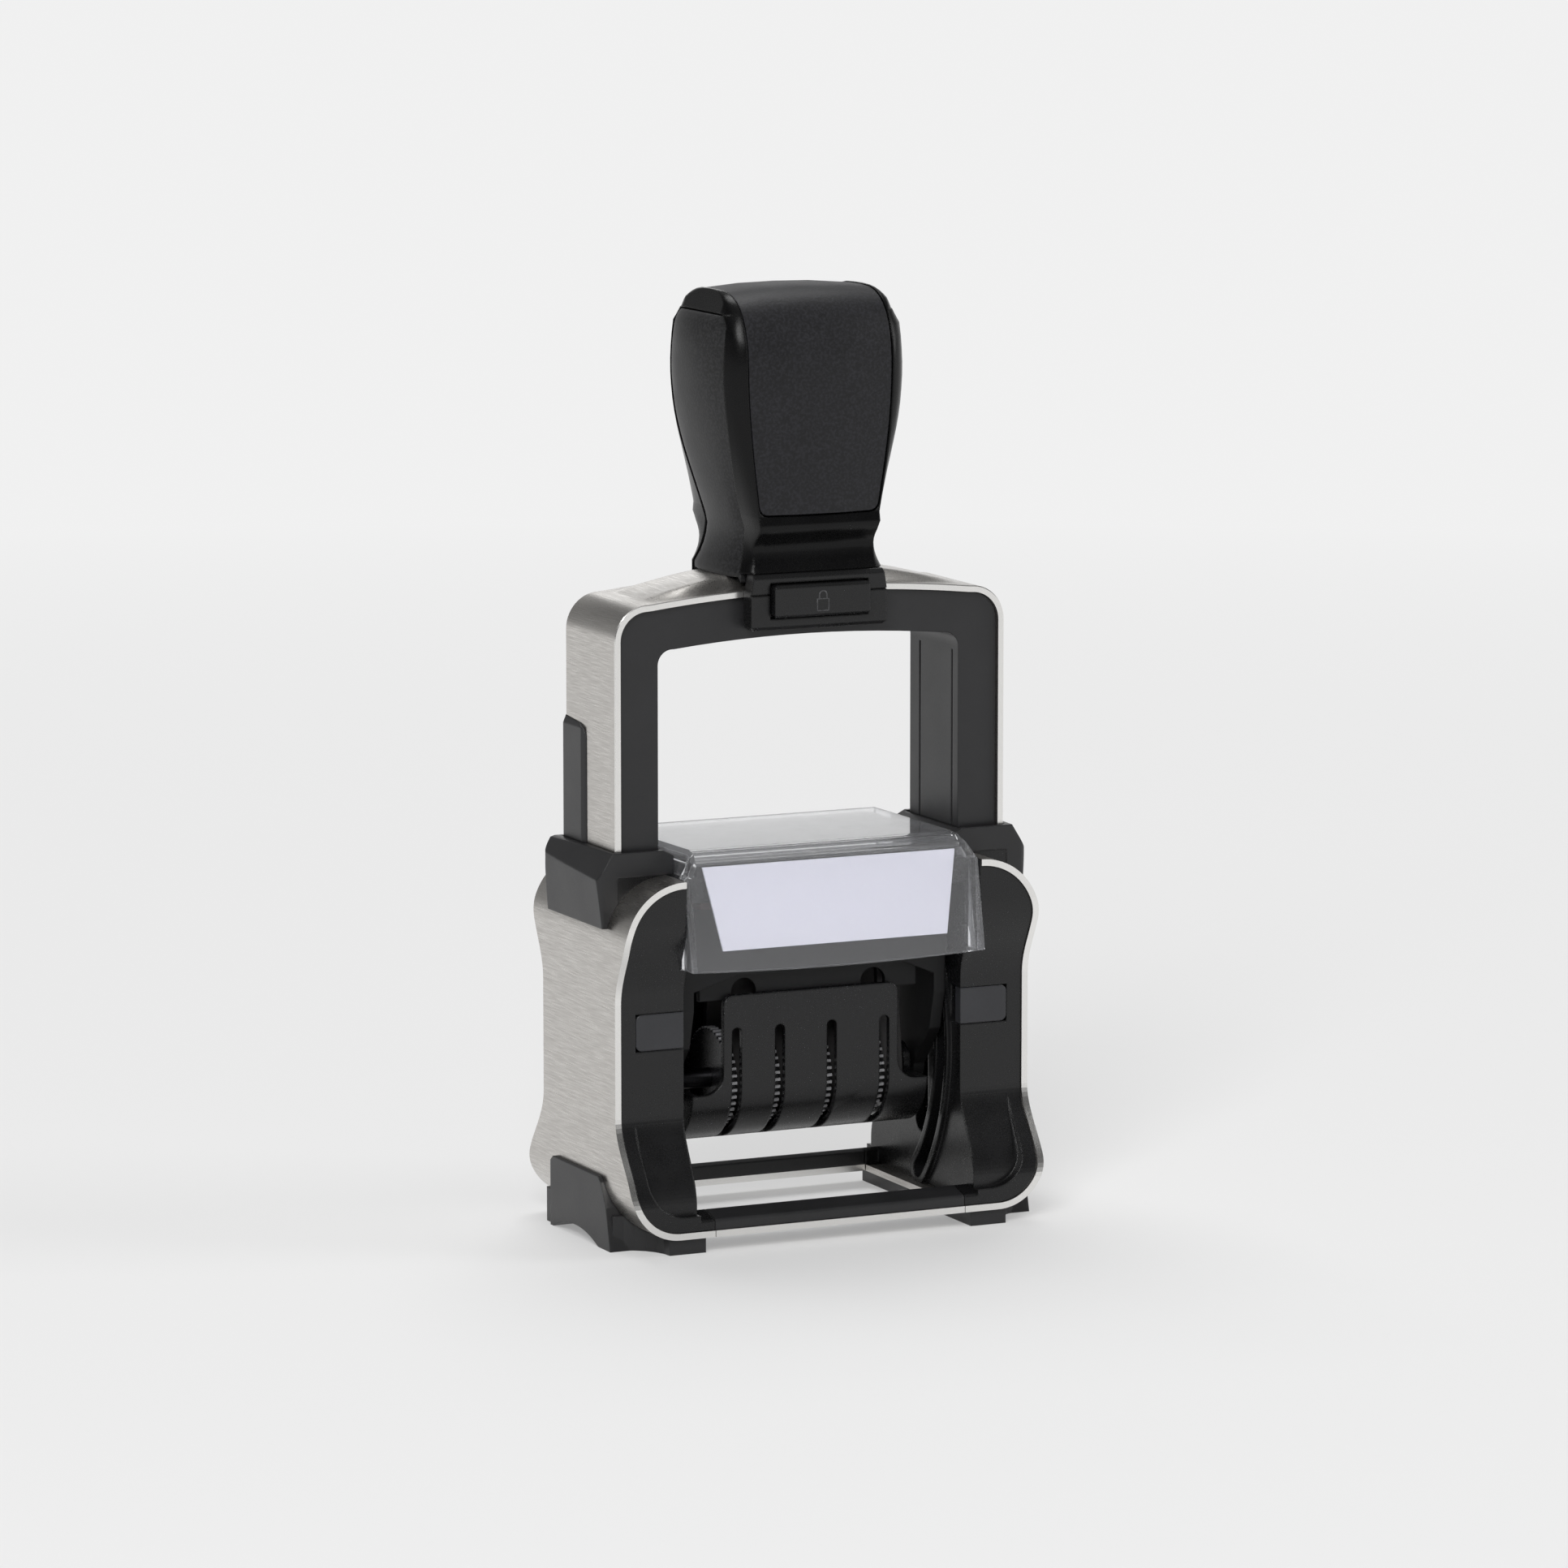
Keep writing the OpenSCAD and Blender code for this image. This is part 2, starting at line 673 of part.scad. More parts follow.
// The dome: an arc across the handle, with a rounded edge along its front and its back
function dome_arc(grow) = [for (i = [0 : dome_steps]) let (
    x = dome_half * (2 * i / dome_steps - 1),
    r = arc_r(dome_half, dome_rise)) [x, dome_z + grow - r + sqrt(r * r - x * x)]];
function dome_edge(grow) = [for (i = [0 : edge_steps]) let (a = 90 * i / edge_steps)
    [dome_depth + grow - dome_edge_r * (1 - cos(a)), dome_z + grow - dome_edge_r * (1 - sin(a))]];
module dome(grow) {
    low = arch_z - strip_t;
    edge = dome_edge(grow);
    intersection() {
        along_y(handle_d + 1) polygon(concat([[dome_half, low], [-dome_half, low]], dome_arc(grow)));
        along_x(2 * dome_half) polygon(concat([[dome_depth + grow, low]], edge,
            [for (i = [edge_steps : -1 : 0]) [-edge[i][0], edge[i][1]]], [[-dome_depth - grow, low]]));
    }
}
module bracket_band() {
    color(steel) difference() {
        union() {
            along_y(handle_d) handle_arch(0, strip_low);
            dome(0);
        }
        along_y(far) handle_arch(strip_t, 0);
    }
}

// Black inner frame of the handle, with the legs that run in the columns
groove_w = 0.5;
groove_t = 0.4;
groove_y = [-6.3, 4.9];
finger_r = 2.4;
finger_rise = 1.2;
leg_chamfer = 1.8;
spring_bore = spring_r + wire_r + 0.4;
module bracket_frame() {
    color(black) difference() {
        along_y(2 * frame_depth) difference() {
            handle_arch(strip_t + 0.02, leg_bottom);
            arch_plate(leg_inner, 0, finger_top, finger_r, finger_rise,
                arc_r(leg_inner - finger_r - crown_inset, finger_rise));
        }
        pair() {
            translate([leg_x, spring_y, 0]) cylinder(h = spring_head + seam_gap, r = spring_bore);
            translate([leg_inner - 1, 0, pivot_z]) rotate([0, 90, 0])
                cylinder(h = pin_grip + 1, r = pivot_r + press_gap);
            for (y = groove_y)
                block(leg_inner - 1, leg_inner + groove_t, y - groove_w / 2, y + groove_w / 2,
                    pivot_z + 8, finger_top - 3);
            translate([frame_half, 0, leg_bottom]) rotate([0, 45, 0])
                cube([leg_chamfer * sqrt(2), far, leg_chamfer * sqrt(2)], center = true);
        }
    }
}

// Black rails on the rear half of the legs' outer faces
rail_front = 1.2;
rail_top = 79.6;
rail_slant = 1.2;
rail_bevel = 1.3;
rail_low = strip_low + 1;
module rail() {
    color(black) intersection() {
        translate([leg_half + rail_proud / 2, 0, 0]) along_x(rail_proud) polygon([[rail_front, rail_low],
            [rail_front, rail_top - 2.6], [rail_front + 1, rail_top - 1.2],
            [rail_front + 2.4, rail_top - 0.6], [leg_depth, rail_top], [leg_depth, rail_low]]);
        translate([leg_half, 0, 0]) along_y(far) polygon([[0, 0], [rail_proud, 0],
            [rail_proud, rail_top - rail_slant], [0, rail_top]]);
        linear_extrude(far) polygon([[leg_half, rail_front], [leg_half + rail_proud, rail_front + rail_bevel],
            [leg_half + rail_proud, leg_depth], [leg_half, leg_depth]]);
    }
}
module rail_right() {
    rail();
}
module rail_left() {
    mirror([1, 0, 0]) rail();
}

// Pivot pins: held in the legs, passing through the columns' slots into the date unit
pin_grip = 3;
module pivot_pin() {
    color(steel) translate([plate_in, 0, pivot_z]) rotate([0, 90, 0])
        cylinder(h = leg_inner + pin_grip - plate_in, r = pivot_r);
}
module pivot_pin_right() {
    pivot_pin();
}
module pivot_pin_left() {
    mirror([1, 0, 0]) pivot_pin();
}

// Grip: half width and half depth at each height, from the neck to the rounded top
grip_foot = dome_z + 0.05;
neck_z = 109;
neck_flare = 1.5;
neck_depth = grip_reach - 3.2;
neck_seam = 7;
panel_low = neck_z + 2;
ledge_z = panel_low - 1.4;
brow_z = neck_z - 3.2;
grip_rise = 25;
full_z = neck_z + grip_rise;
round_z = grip_top - 14.4;
top_round = 2.8;
crest_z = grip_top - 12.8;
crest_flat = 2;
crest_power = 2.5;
shell_top = grip_top - 3.8;
shell_corner = 2.6;
frame_top = grip_top - panel_crown;
top_chamfer = 0.3;
function rise_to(z, a, b) = min(max((z - a) / (b - a), 0), 1);
function half_w(z) = z < neck_z
    ? neck_half + neck_flare * pow((neck_z - z) / (neck_z - grip_foot), 2)
    : neck_half + grip_swell * sin(90 * rise_to(z, neck_z, full_z))
        - top_round * quarter_drop(z, round_z, grip_top);
// From 0 at z = a to 1 at z = b, as a quarter of an ellipse falls
function quarter_drop(z, a, b) = 1 - sqrt(1 - pow(rise_to(z, a, b), 2));
function crest(z, inset) = let (t = rise_to(z, crest_z, grip_top - inset))
    crest_flat + (grip_reach - crest_flat - inset) * pow(1 - pow(t, crest_power), 1 / crest_power);
function half_d(z) = z > crest_z ? crest(z, 0)
    : z > ledge_z ? grip_reach - 0.6 * (1 - rise_to(z, ledge_z, ledge_z + 14))
    : z > brow_z ? neck_depth + (grip_reach - 0.6 - neck_depth) * ease(rise_to(z, brow_z, ledge_z))
    : neck_depth + 1.2 * pow((brow_z - z) / (brow_z - grip_foot), 2);
// The panel is crowned, so the core's frame lies lower, level with the panel's edges
function frame_d(z) = z > crest_z ? crest(z, panel_crown)
    : half_d(z) - panel_crown * rise_to(z, ledge_z, panel_low);
function panel_half(z) = neck_half - 0.75 + 2.2 * sin(90 * rise_to(z, panel_low, full_z));
function seam_x(z) = half_w(z) - 0.1 - top_chamfer * rise_to(z, shell_top, frame_top);
function seam_y(z) = max(0.6, min(frame_d(z) - 1.6, z < neck_z
    ? neck_seam + 1.6 * pow((neck_z - z) / (neck_z - grip_foot), 2)
    : neck_seam + 2.7 * ease(rise_to(z, neck_z, full_z - 6))
        - shell_corner * quarter_drop(z, shell_top - shell_corner, shell_top)));

// A closed solid through rings of points with the same count, the first and last ring capped
module loft(rings) {
    n = len(rings[0]);
    m = len(rings);
    last = (m - 1) * n;
    sides = [for (i = [0 : m - 2], k = [0 : n - 1]) let (a = i * n, b = a + n, j = (k + 1) % n)
        each [[a + k, b + k, b + j], [a + k, b + j, a + j]]];
    polyhedron([for (ring = rings) each ring],
        concat(sides, [[for (k = [0 : n - 1]) k]], [[for (k = [n - 1 : -1 : 0]) last + k]]));
}
function level(outline, z) = [for (p = outline) [p[0], p[1], z]];
function mirrored(quarter) = let (n = len(quarter)) concat(quarter,
    [for (i = [n - 1 : -1 : 0]) [quarter[i][0], -quarter[i][1]]],
    [for (i = [0 : n - 1]) [-quarter[i][0], -quarter[i][1]]],
    [for (i = [n - 1 : -1 : 0]) [-quarter[i][0], quarter[i][1]]]);
step_z = 0.06;
grip_gap = 0.2;
function spread(a, b, n) = [for (i = [0 : n]) a + (b - a) * i / n];

// Core: shows as the neck and as a bevelled frame round the panel and the side shells
bevel_steps = 4;
core_neck_steps = 10;
core_side_steps = 14;
core_top_steps = 4;
horn_steps = 4;
panel_r = 1.2;
corner_steps = 4;
function corner_inset(z, low) = panel_r * quarter_drop(low + panel_r - z, 0, panel_r);
function recess_half(z) = panel_half(z) + grip_gap - corner_inset(z, panel_low);
recess_t = panel_t + seam_gap;
function recess_d(z) = z > crest_z ? crest(z, recess_t) : half_d(z) - recess_t;
function bevel_point(a, b, t) = let (c = [a[0] + 0.68 * (b[0] - a[0]), a[1] + 0.22 * (b[1] - a[1])])
    (1 - t) * (1 - t) * a + 2 * t * (1 - t) * c + t * t * b;
function bevel(z) = let (
    a = [min(panel_half(z) + 0.4, seam_x(z) - 0.5), -frame_d(z)],
    b = [seam_x(z), -seam_y(z)]) [for (i = [0 : bevel_steps]) bevel_point(a, b, i / bevel_steps)];
function core_quarter(z, panel_sunk, shell_sunk) = let (h = recess_half(z), y = seam_y(z))
    concat([panel_sunk ? [h, -recess_d(z)] : [h - 0.4, -frame_d(z)], [h, -frame_d(z)]], bevel(z),
        [shell_sunk ? [seam_x(z) - shell_t - seam_gap, -y] : [seam_x(z), 0.4 - y]]);
// The frame beside the panel rises over the recess's floor as a horn on each side
function horn_half(z) = let (
    h = recess_half(z),
    quarter = concat([[h, -min(crest_flat, 0.6 * frame_d(z))], [h, -frame_d(z)]], bevel(z),
        [[seam_x(z), 0.4 - seam_y(z)]]))
    concat(quarter, [for (i = [len(quarter) - 1 : -1 : 0]) [quarter[i][0], -quarter[i][1]]]);
skirt_z = arch_z + 1;
core_top = grip_top - recess_t;
core_rings = concat([level(mirrored(core_quarter(grip_foot, false, true)), skirt_z)],
    [for (z = concat(spread(grip_foot, ledge_z, core_neck_steps), [panel_low - step_z]))
        level(mirrored(core_quarter(z, false, true)), z)],
    [for (i = [0 : corner_steps]) let (z = panel_low + panel_r * (1 - cos(90 * i / corner_steps)))
        level(mirrored(core_quarter(z, true, true)), z)],
    [for (z = spread(panel_low + 2 * panel_r, shell_top - step_z, core_side_steps))
        level(mirrored(core_quarter(z, true, true)), z)],
    [for (z = spread(shell_top, core_top, core_top_steps)) level(mirrored(core_quarter(z, true, false)), z)]);
function horn_z(i) = core_top + (frame_top - core_top) * sin(90 * i / horn_steps);
horn_rings = [for (i = [1 : horn_steps]) level(horn_half(horn_z(i)), horn_z(i))];
// Side faces between two rings of n points that start at a and b
function ring_sides(n, a, b) = [for (k = [0 : n - 1]) let (j = (k + 1) % n)
    each [[a + k, b + k, b + j], [a + k, b + j, a + j]]];
module core_body() {
    n = len(core_rings[0]);
    half = n / 2;
    top = (len(core_rings) - 1) * n;
    right = top + n;
    left = right + horn_steps * half;
    polyhedron(
        concat([for (ring = core_rings) each ring], [for (ring = horn_rings) each ring],
            [for (ring = horn_rings) each [for (p = ring) [-p[0], -p[1], p[2]]]]),
        concat([for (i = [0 : len(core_rings) - 2]) each ring_sides(n, i * n, i * n + n)],
            ring_sides(half, top, right), ring_sides(half, top + half, left),
            [for (i = [0 : horn_steps - 2], start = [right, left])
                each ring_sides(half, start + i * half, start + i * half + half)],
            [[for (k = [0 : n - 1]) k], [top + n - 1, top + half, top + half - 1, top]],
            [for (start = [right, left])
                [for (k = [half - 1 : -1 : 0]) start + (horn_steps - 1) * half + k]]));
}
module grip_core() {
    color(black) difference() {
        core_body();
        grip_seat();
        block(-far, far, -far, -dome_depth, 0, collar_high + 0.05);
    }
}
// What the grip sits on: the dome, and the crown's level before and behind it
module grip_seat() {
    dome(0.04);
    block(-far, far, -leg_depth - 0.05, leg_depth + 0.05, 0, crown_z + 0.05);
}

// Panel: one inlaid strip up the front, over the top and down the back, with round lower corners
crest_steps = 10;
crown_steps = 4;
function panel_side(low) = concat(
    [for (i = [0 : corner_steps]) let (z = low + panel_r * (1 - cos(90 * i / corner_steps))) [-half_d(z), z]],
    [for (z = spread(low + 2 * panel_r, crest_z, 7)) [-half_d(z), z]],
    [for (i = [1 : crest_steps]) let (z = crest_z + (grip_top - crest_z) * sin(90 * i / crest_steps))
        [-crest(z, 0), z]]);
function panel_path(low) = let (side = panel_side(low)) concat(side,
    [for (i = [len(side) - 1 : -1 : 0]) [-side[i][0], side[i][1]]]);
function path_normal(path, i) = let (
    d = path[min(i + 1, len(path) - 1)] - path[max(i - 1, 0)]) [d[1], -d[0]] / norm(d);
function panel_ring(path, i, low) = let (
    p = path[i],
    n = path_normal(path, i),
    h = panel_half(p[1]) - corner_inset(p[1], low),
    q = p + panel_t * n)
    concat([[-h, q[0], q[1]], [h, q[0], q[1]]], [for (k = [0 : crown_steps]) let (
        u = 1 - 2 * k / crown_steps,
        c = p + (panel_crown * pow(abs(u), 2) + (abs(u) == 1 ? 0.12 : 0)) * n) [h * u, c[0], c[1]]]);
module grip_panel() {
    low = panel_low + grip_gap;
    path = panel_path(low);
    color(charcoal) loft([for (i = [len(path) - 1 : -1 : 0]) panel_ring(path, i, low)]);
}
// Side shell: a soft shield that swells between its seams
shell_points = 14;
shell_bulge = 0.9;
shell_swell = 1;
shell_steps = 24;
function shell_section(z) = let (
    inner = seam_x(z) - shell_t,
    bulge = shell_bulge + shell_swell * rise_to(z, neck_z, full_z) - (shell_bulge + shell_swell - 0.3)
        * quarter_drop(z, shell_top - 2 * shell_corner, shell_top),
    y = seam_y(z) - grip_gap)
    concat([[inner, y], [inner, -y]], [for (i = [0 : shell_points]) let (u = 2 * i / shell_points - 1)
        [seam_x(z) + bulge * (1 - pow(abs(u), 2.2)) - 0.3 * rise_to(abs(u), 0.8, 1), u * y]]);
module grip_side() {
    heights = concat(spread(grip_foot, shell_top - shell_corner, shell_steps),
        [for (i = [1 : 5]) shell_top - grip_gap - (shell_corner - grip_gap) * (1 - sin(90 * i / 5))]);
    color(black) difference() {
        loft(concat([level(shell_section(grip_foot), skirt_z)],
            [for (z = heights) level(shell_section(z), z)]));
        grip_seat();
    }
}
module grip_side_right() {
    grip_side();
}
module grip_side_left() {
    mirror([1, 0, 0]) grip_side();
}

// Lock: a collar on the front of the handle's bar and a button that presses into it
collar_low = 93.6;
collar_high = dome_z - 0.1;
collar_front = -12;
collar_back = -leg_depth - 0.05;
collar_seam = 99.1;
button_low = 95.6;
button_t = 1.7;
button_proud = 1.3;
button_travel = 1.2;
module lock_collar() {
    half = button_w / 2 + slide_gap;
    color(black) difference() {
        union() {
            translate([0, (collar_front + collar_back) / 2, 0]) along_y(collar_back - collar_front)
                polygon([[-collar_half, collar_low + 0.6], [0.6 - collar_half, collar_low],
                    [collar_half - 0.6, collar_low], [collar_half, collar_low + 0.6],
                    [collar_half, collar_seam], [collar_half - 0.5, collar_high],
                    [0.5 - collar_half, collar_high], [-collar_half, collar_seam]]);
            block(1.5 - collar_half, collar_half - 1.5, collar_back - 0.1, -frame_depth,
                collar_low + 0.6, arch_z - strip_t - 0.6);
        }
        // Pocket of the button
        block(-half, half, -far, collar_front + button_t - button_proud + button_travel + slide_gap,
            button_low - slide_gap, button_low + button_h + slide_gap);
        // Seam between the lower and the upper half
        block(-far, far, -far, collar_front + 0.35, collar_seam - 0.12, collar_seam + 0.12);
        // Bevels along the top and the bottom of the front
        for (z = [collar_low, collar_high]) translate([0, collar_front, z]) rotate([45, 0, 0])
            cube([far, 0.9, 0.9], center = true);
    }
}
module lock_button() {
    front = collar_front - button_proud;
    color(black) difference() {
        along_y_from(front, button_t)
            round_box_2d(-button_w / 2, button_w / 2, button_low, button_low + button_h, 0.6);
        for (z = [button_low, button_low + button_h]) translate([0, front, z]) rotate([45, 0, 0])
            cube([far, 0.6, 0.6], center = true);
    }
}

// Date unit: side plates on the pivots, joined by a top plate, two beams and the anvil of the bands
plate_z = type_z - 1.5;
side_top = pivot_z + guide_reach + guide_r + 0.3;
beam_half_d = 10.4;
beam_low = pivot_z + 1.1;
notch_z = pivot_z - 1.9;
guard_top = pivot_z - 2.2;
apron_low = guard_top - 0.8;
apron_t = 1;
apron_y = guard_t + 0.1 - guard_r;
anvil_z = type_z - belt_top_r;
anvil_r = belt_top_r - belt_t - 0.2;
window_x = plate_w / 2 - 2.5;
anvil_half = window_x - 0.2;
arm_r = 3.4;
notch_x = guard_half - 3.8;
notch_r = 2.1;
module side_plate_2d() {
    difference() {
        union() {
            polygon([[-beam_half_d, side_top - 2], [2 - beam_half_d, side_top], [beam_half_d - 2, side_top],
                [beam_half_d, side_top - 2], [beam_half_d, pivot_z - 4],
                [8.8, pivot_z - 10], [arm_r, wheel_z],
                [-arm_r, wheel_z], [-8.8, pivot_z - 10], [-beam_half_d, pivot_z - 4]]);
            translate([0, wheel_z]) circle(arm_r);
        }
        translate([0, pivot_z]) circle(pivot_r + run_gap);
        translate([0, wheel_z]) circle(axle_r + press_gap);
        translate([0, pivot_z + guide_reach]) circle(guide_r + press_gap);
    }
}
module beam_2d() {
    // Upper beam with bevelled lower corners that lead into the arms
    half = plate_in + 0.1;
    polygon([[-half, plate_z - 0.1], [half, plate_z - 0.1], [half, beam_low - 2.2],
        [notch_x + 4.5, beam_low], [-notch_x - 2.5, beam_low], [-half, beam_low - 2.2]]);
}
module apron_2d() {
    difference() {
        translate([-plate_in + 2, apron_low]) square([2 * plate_in - 4, beam_low + 1 - apron_low]);
        for (x = [-notch_x, notch_x]) translate([x, notch_z]) circle(notch_r);
    }
}
// Plain cover behind the wheels, as deep as the guard in front of them
cover_behind = guard_r - guard_t + 0.1;
module rear_cover_2d() {
    half = plate_in - 2;
    round_box_2d(-half, half, wheel_z - guard_r, beam_low + 0.8, 2.5);
}
module die_frame() {
    color(black) {
        along_y_from(cover_behind, guard_t) rear_cover_2d();
        pair() translate([(plate_in + plate_out) / 2, 0, 0]) along_x(plate_out - plate_in) side_plate_2d();
        for (side = [0, 1]) mirror([0, side, 0]) {
            along_y_from(-beam_half_d, 1.3) beam_2d();
            along_y_from(apron_y, apron_t) apron_2d();
            block(2 - plate_in, plate_in - 2, 0.1 - beam_half_d, apron_y + apron_t,
                beam_low + 0.2, beam_low + 1.2);
        }
        difference() {
            block(-plate_in - 0.1, plate_in + 0.1, -beam_half_d, beam_half_d, side_top - 1.6, plate_z);
            block(-window_x, window_x, -4.4, 4.4, 0, far);
        }
        translate([-anvil_half, 0, anvil_z]) rotate([0, 90, 0]) cylinder(h = 2 * anvil_half, r = anvil_r);
        pair() block(anvil_half - 0.5, plate_in, -anvil_r, anvil_r, side_top - 1.6, anvil_z);
    }
}

// Text plate: a bare rubber face with raised rules, open in the middle for the date
rule_w = 30;
rule_t = 0.7;
rule_pitch = 2;
rule_y = plate_d / 2 - 4.6;
module text_plate() {
    color(rubber) difference() {
        translate([0, 0, plate_z]) linear_extrude(type_z - plate_z)
            round_box_2d(-plate_w / 2, plate_w / 2, -plate_d / 2, plate_d / 2, 1);
        block(-window_x, window_x, -3.6, 3.6, 0, far);
        translate([0, 0, type_z - 0.5]) linear_extrude(1) difference() {
            round_box_2d(0.8 - plate_w / 2, plate_w / 2 - 0.8, 0.8 - plate_d / 2, plate_d / 2 - 0.8, 0.5);
            square([2 * window_x + 1.2, 8.4], center = true);
            for (side = [-1, 1], y = [rule_y, rule_y + rule_pitch])
                translate([0, side * y]) square([rule_w, rule_t], center = true);
        }
    }
}
module guide_pin() {
    color(steel) translate([plate_in + 0.2, 0, pivot_z + guide_reach]) rotate([0, 90, 0])
        cylinder(h = band_end - plate_in - 0.4, r = guide_r);
}
module guide_pin_right() {
    guide_pin();
}
module guide_pin_left() {
    mirror([1, 0, 0]) guide_pin();
}

// Setting wheels and their axle
axle_r = 1.5;
wheel_x = [for (share = [-0.63, -0.265, 0.175, 0.625]) share * ear_half];
hub_r = 4.9;
hub_w = date_band_w + 0.8;
tooth_t = 0.55;
module wheel_axle() {
    color(steel) translate([-plate_out - 0.4, 0, wheel_z]) rotate([0, 90, 0])
        cylinder(h = 2 * plate_out + 0.8, r = axle_r);
}
module toothed_disc() {
    step = 360 / wheel_teeth;
    root = wheel_r - tooth_t;
    polygon([for (i = [0 : wheel_teeth - 1]) let (a = i * step)
        each [root * [cos(a), sin(a)], root * [cos(a + 0.45 * step), sin(a + 0.45 * step)],
            wheel_r * [cos(a + 0.55 * step), sin(a + 0.55 * step)],
            wheel_r * [cos(a + 0.9 * step), sin(a + 0.9 * step)]]]);
}
module band_wheel(i) {
    hub_mid = rim_w / 2 + hub_w / 2 - 0.1;
    color(black) translate([wheel_x[i], 0, wheel_z]) difference() {
        union() {
            along_x(rim_w) toothed_disc();
            translate([hub_mid, 0, 0]) along_x(hub_w) circle(hub_r);
        }
        along_x(far) circle(axle_r + run_gap);
    }
}
module band_wheel_1() {
    band_wheel(0);
}
module band_wheel_2() {
    band_wheel(1);
}
module band_wheel_3() {
    band_wheel(2);
}
module band_wheel_4() {
    band_wheel(3);
}

// Date bands: each runs from its wheel's hub over the anvil
belt_low_r = hub_r + 0.35 + belt_t;
belt_arc_steps = 14;
module belt_2d(inset) {
    low_r = belt_low_r - inset;
    top_r = belt_top_r - inset;
    lean = asin((low_r - top_r) / (anvil_z - wheel_z));
    polygon(concat(
        [for (i = [0 : belt_arc_steps]) let (a = lean + (180 - 2 * lean) * i / belt_arc_steps)
            [top_r * cos(a), anvil_z + top_r * sin(a)]],
        [for (i = [0 : 2 * belt_arc_steps]) let (a = 180 - lean + (180 + 2 * lean) * i / (2 * belt_arc_steps))
            [low_r * cos(a), wheel_z + low_r * sin(a)]]));
}
module date_band(i) {
    mid = wheel_x[i] + rim_w / 2 + 0.3 + date_band_w / 2;
    color(rubber) translate([mid, 0, 0]) along_x(date_band_w) difference() {
        belt_2d(0);
        belt_2d(belt_t);
    }
}
module date_band_1() {
    date_band(0);
}
module date_band_2() {
    date_band(1);
}
module date_band_3() {
    date_band(2);
}
module date_band_4() {
    date_band(3);
}

// Guard over the wheels: a flat front that curls under, slotted for the wheels' rims, hung on the axle
ear_t = 1.2;
ear_fillet = 3.2;
ear_top = wheel_z - 1;
guard_under = 3.2;
slot_w = 1.7;
slot_top = wheel_z + 8.4;
slot_end_y = -1.8;
module guard_profile() {
    difference() {
        union() {
            intersection() {
                translate([0, wheel_z]) circle(guard_r);
                translate([-far, wheel_z - far]) square([far + guard_under, far]);
            }
            translate([-guard_r, wheel_z]) square([guard_t, guard_top - wheel_z]);
        }
        translate([0, wheel_z]) circle(guard_r - guard_t);
    }
}
module wheel_guard() {
    color(black) {
        difference() {
            intersection() {
                along_x(2 * ear_half) guard_profile();
                along_y(far) {
                    round_box_2d(-guard_half, guard_half, wheel_z - guard_r - 5, guard_top, 1.6);
                    round_box_2d(-ear_half, ear_half, wheel_z - 2 * guard_r, ear_top, 1.6);
                    // Fillets from the flat front into the ears
                    for (side = [-1, 1]) difference() {
                        translate([side * (guard_half + ear_fillet / 2 - 0.05),
                            ear_top + ear_fillet / 2 - 0.05])
                            square([ear_fillet + 0.1, ear_fillet + 0.1], center = true);
                        translate([side * (guard_half + ear_fillet), ear_top + ear_fillet])
                            circle(ear_fillet, $fn = 32);
                    }
                }
            }
            for (x = wheel_x) {
                block(x - slot_w / 2, x + slot_w / 2, -far, slot_end_y, 0, slot_top);
                translate([x, 0, slot_top]) along_y(far) circle(slot_w / 2, $fn = 24);
            }
        }
        // End walls on the axle
        pair() translate([ear_half - ear_t / 2, 0, 0]) along_x(ear_t) difference() {
            intersection() {
                translate([0, wheel_z]) circle(guard_r - 0.02);
                union() {
                    translate([-far, wheel_z - far]) square([far + guard_under, far + (ear_top - wheel_z)]);
                    translate([0, wheel_z]) circle(axle_r + 1.6);
                }
            }
            translate([0, wheel_z]) circle(axle_r + press_gap);
        }
    }
}

band_left();
band_right();
column_left();
column_right();
front_bar();
rear_bar();
front_strip();
rear_strip();
pad_deck();
shoulder_left();
shoulder_right();
foot_left();
foot_right();
window_cover();
label_card();
return_spring_left();
return_spring_right();
pad_tray();
ink_pad();
catch_left();
catch_right();
bracket_band();
bracket_frame();
rail_left();
rail_right();
grip_core();
grip_panel();
grip_side_left();
grip_side_right();
lock_collar();
lock_button();
pivot_pin_left();
pivot_pin_right();
die_frame();
text_plate();
wheel_guard();
wheel_axle();
guide_pin_left();
guide_pin_right();
date_band_1();
date_band_2();
date_band_3();
date_band_4();
band_wheel_1();
band_wheel_2();
band_wheel_3();
band_wheel_4();
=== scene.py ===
"""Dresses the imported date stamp: finishes, smooth skins, springs, ink pad, stage, light and camera.

Metres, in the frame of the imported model: X across the front, the front faces -Y, Z up from the desk.
"""
import json
import math

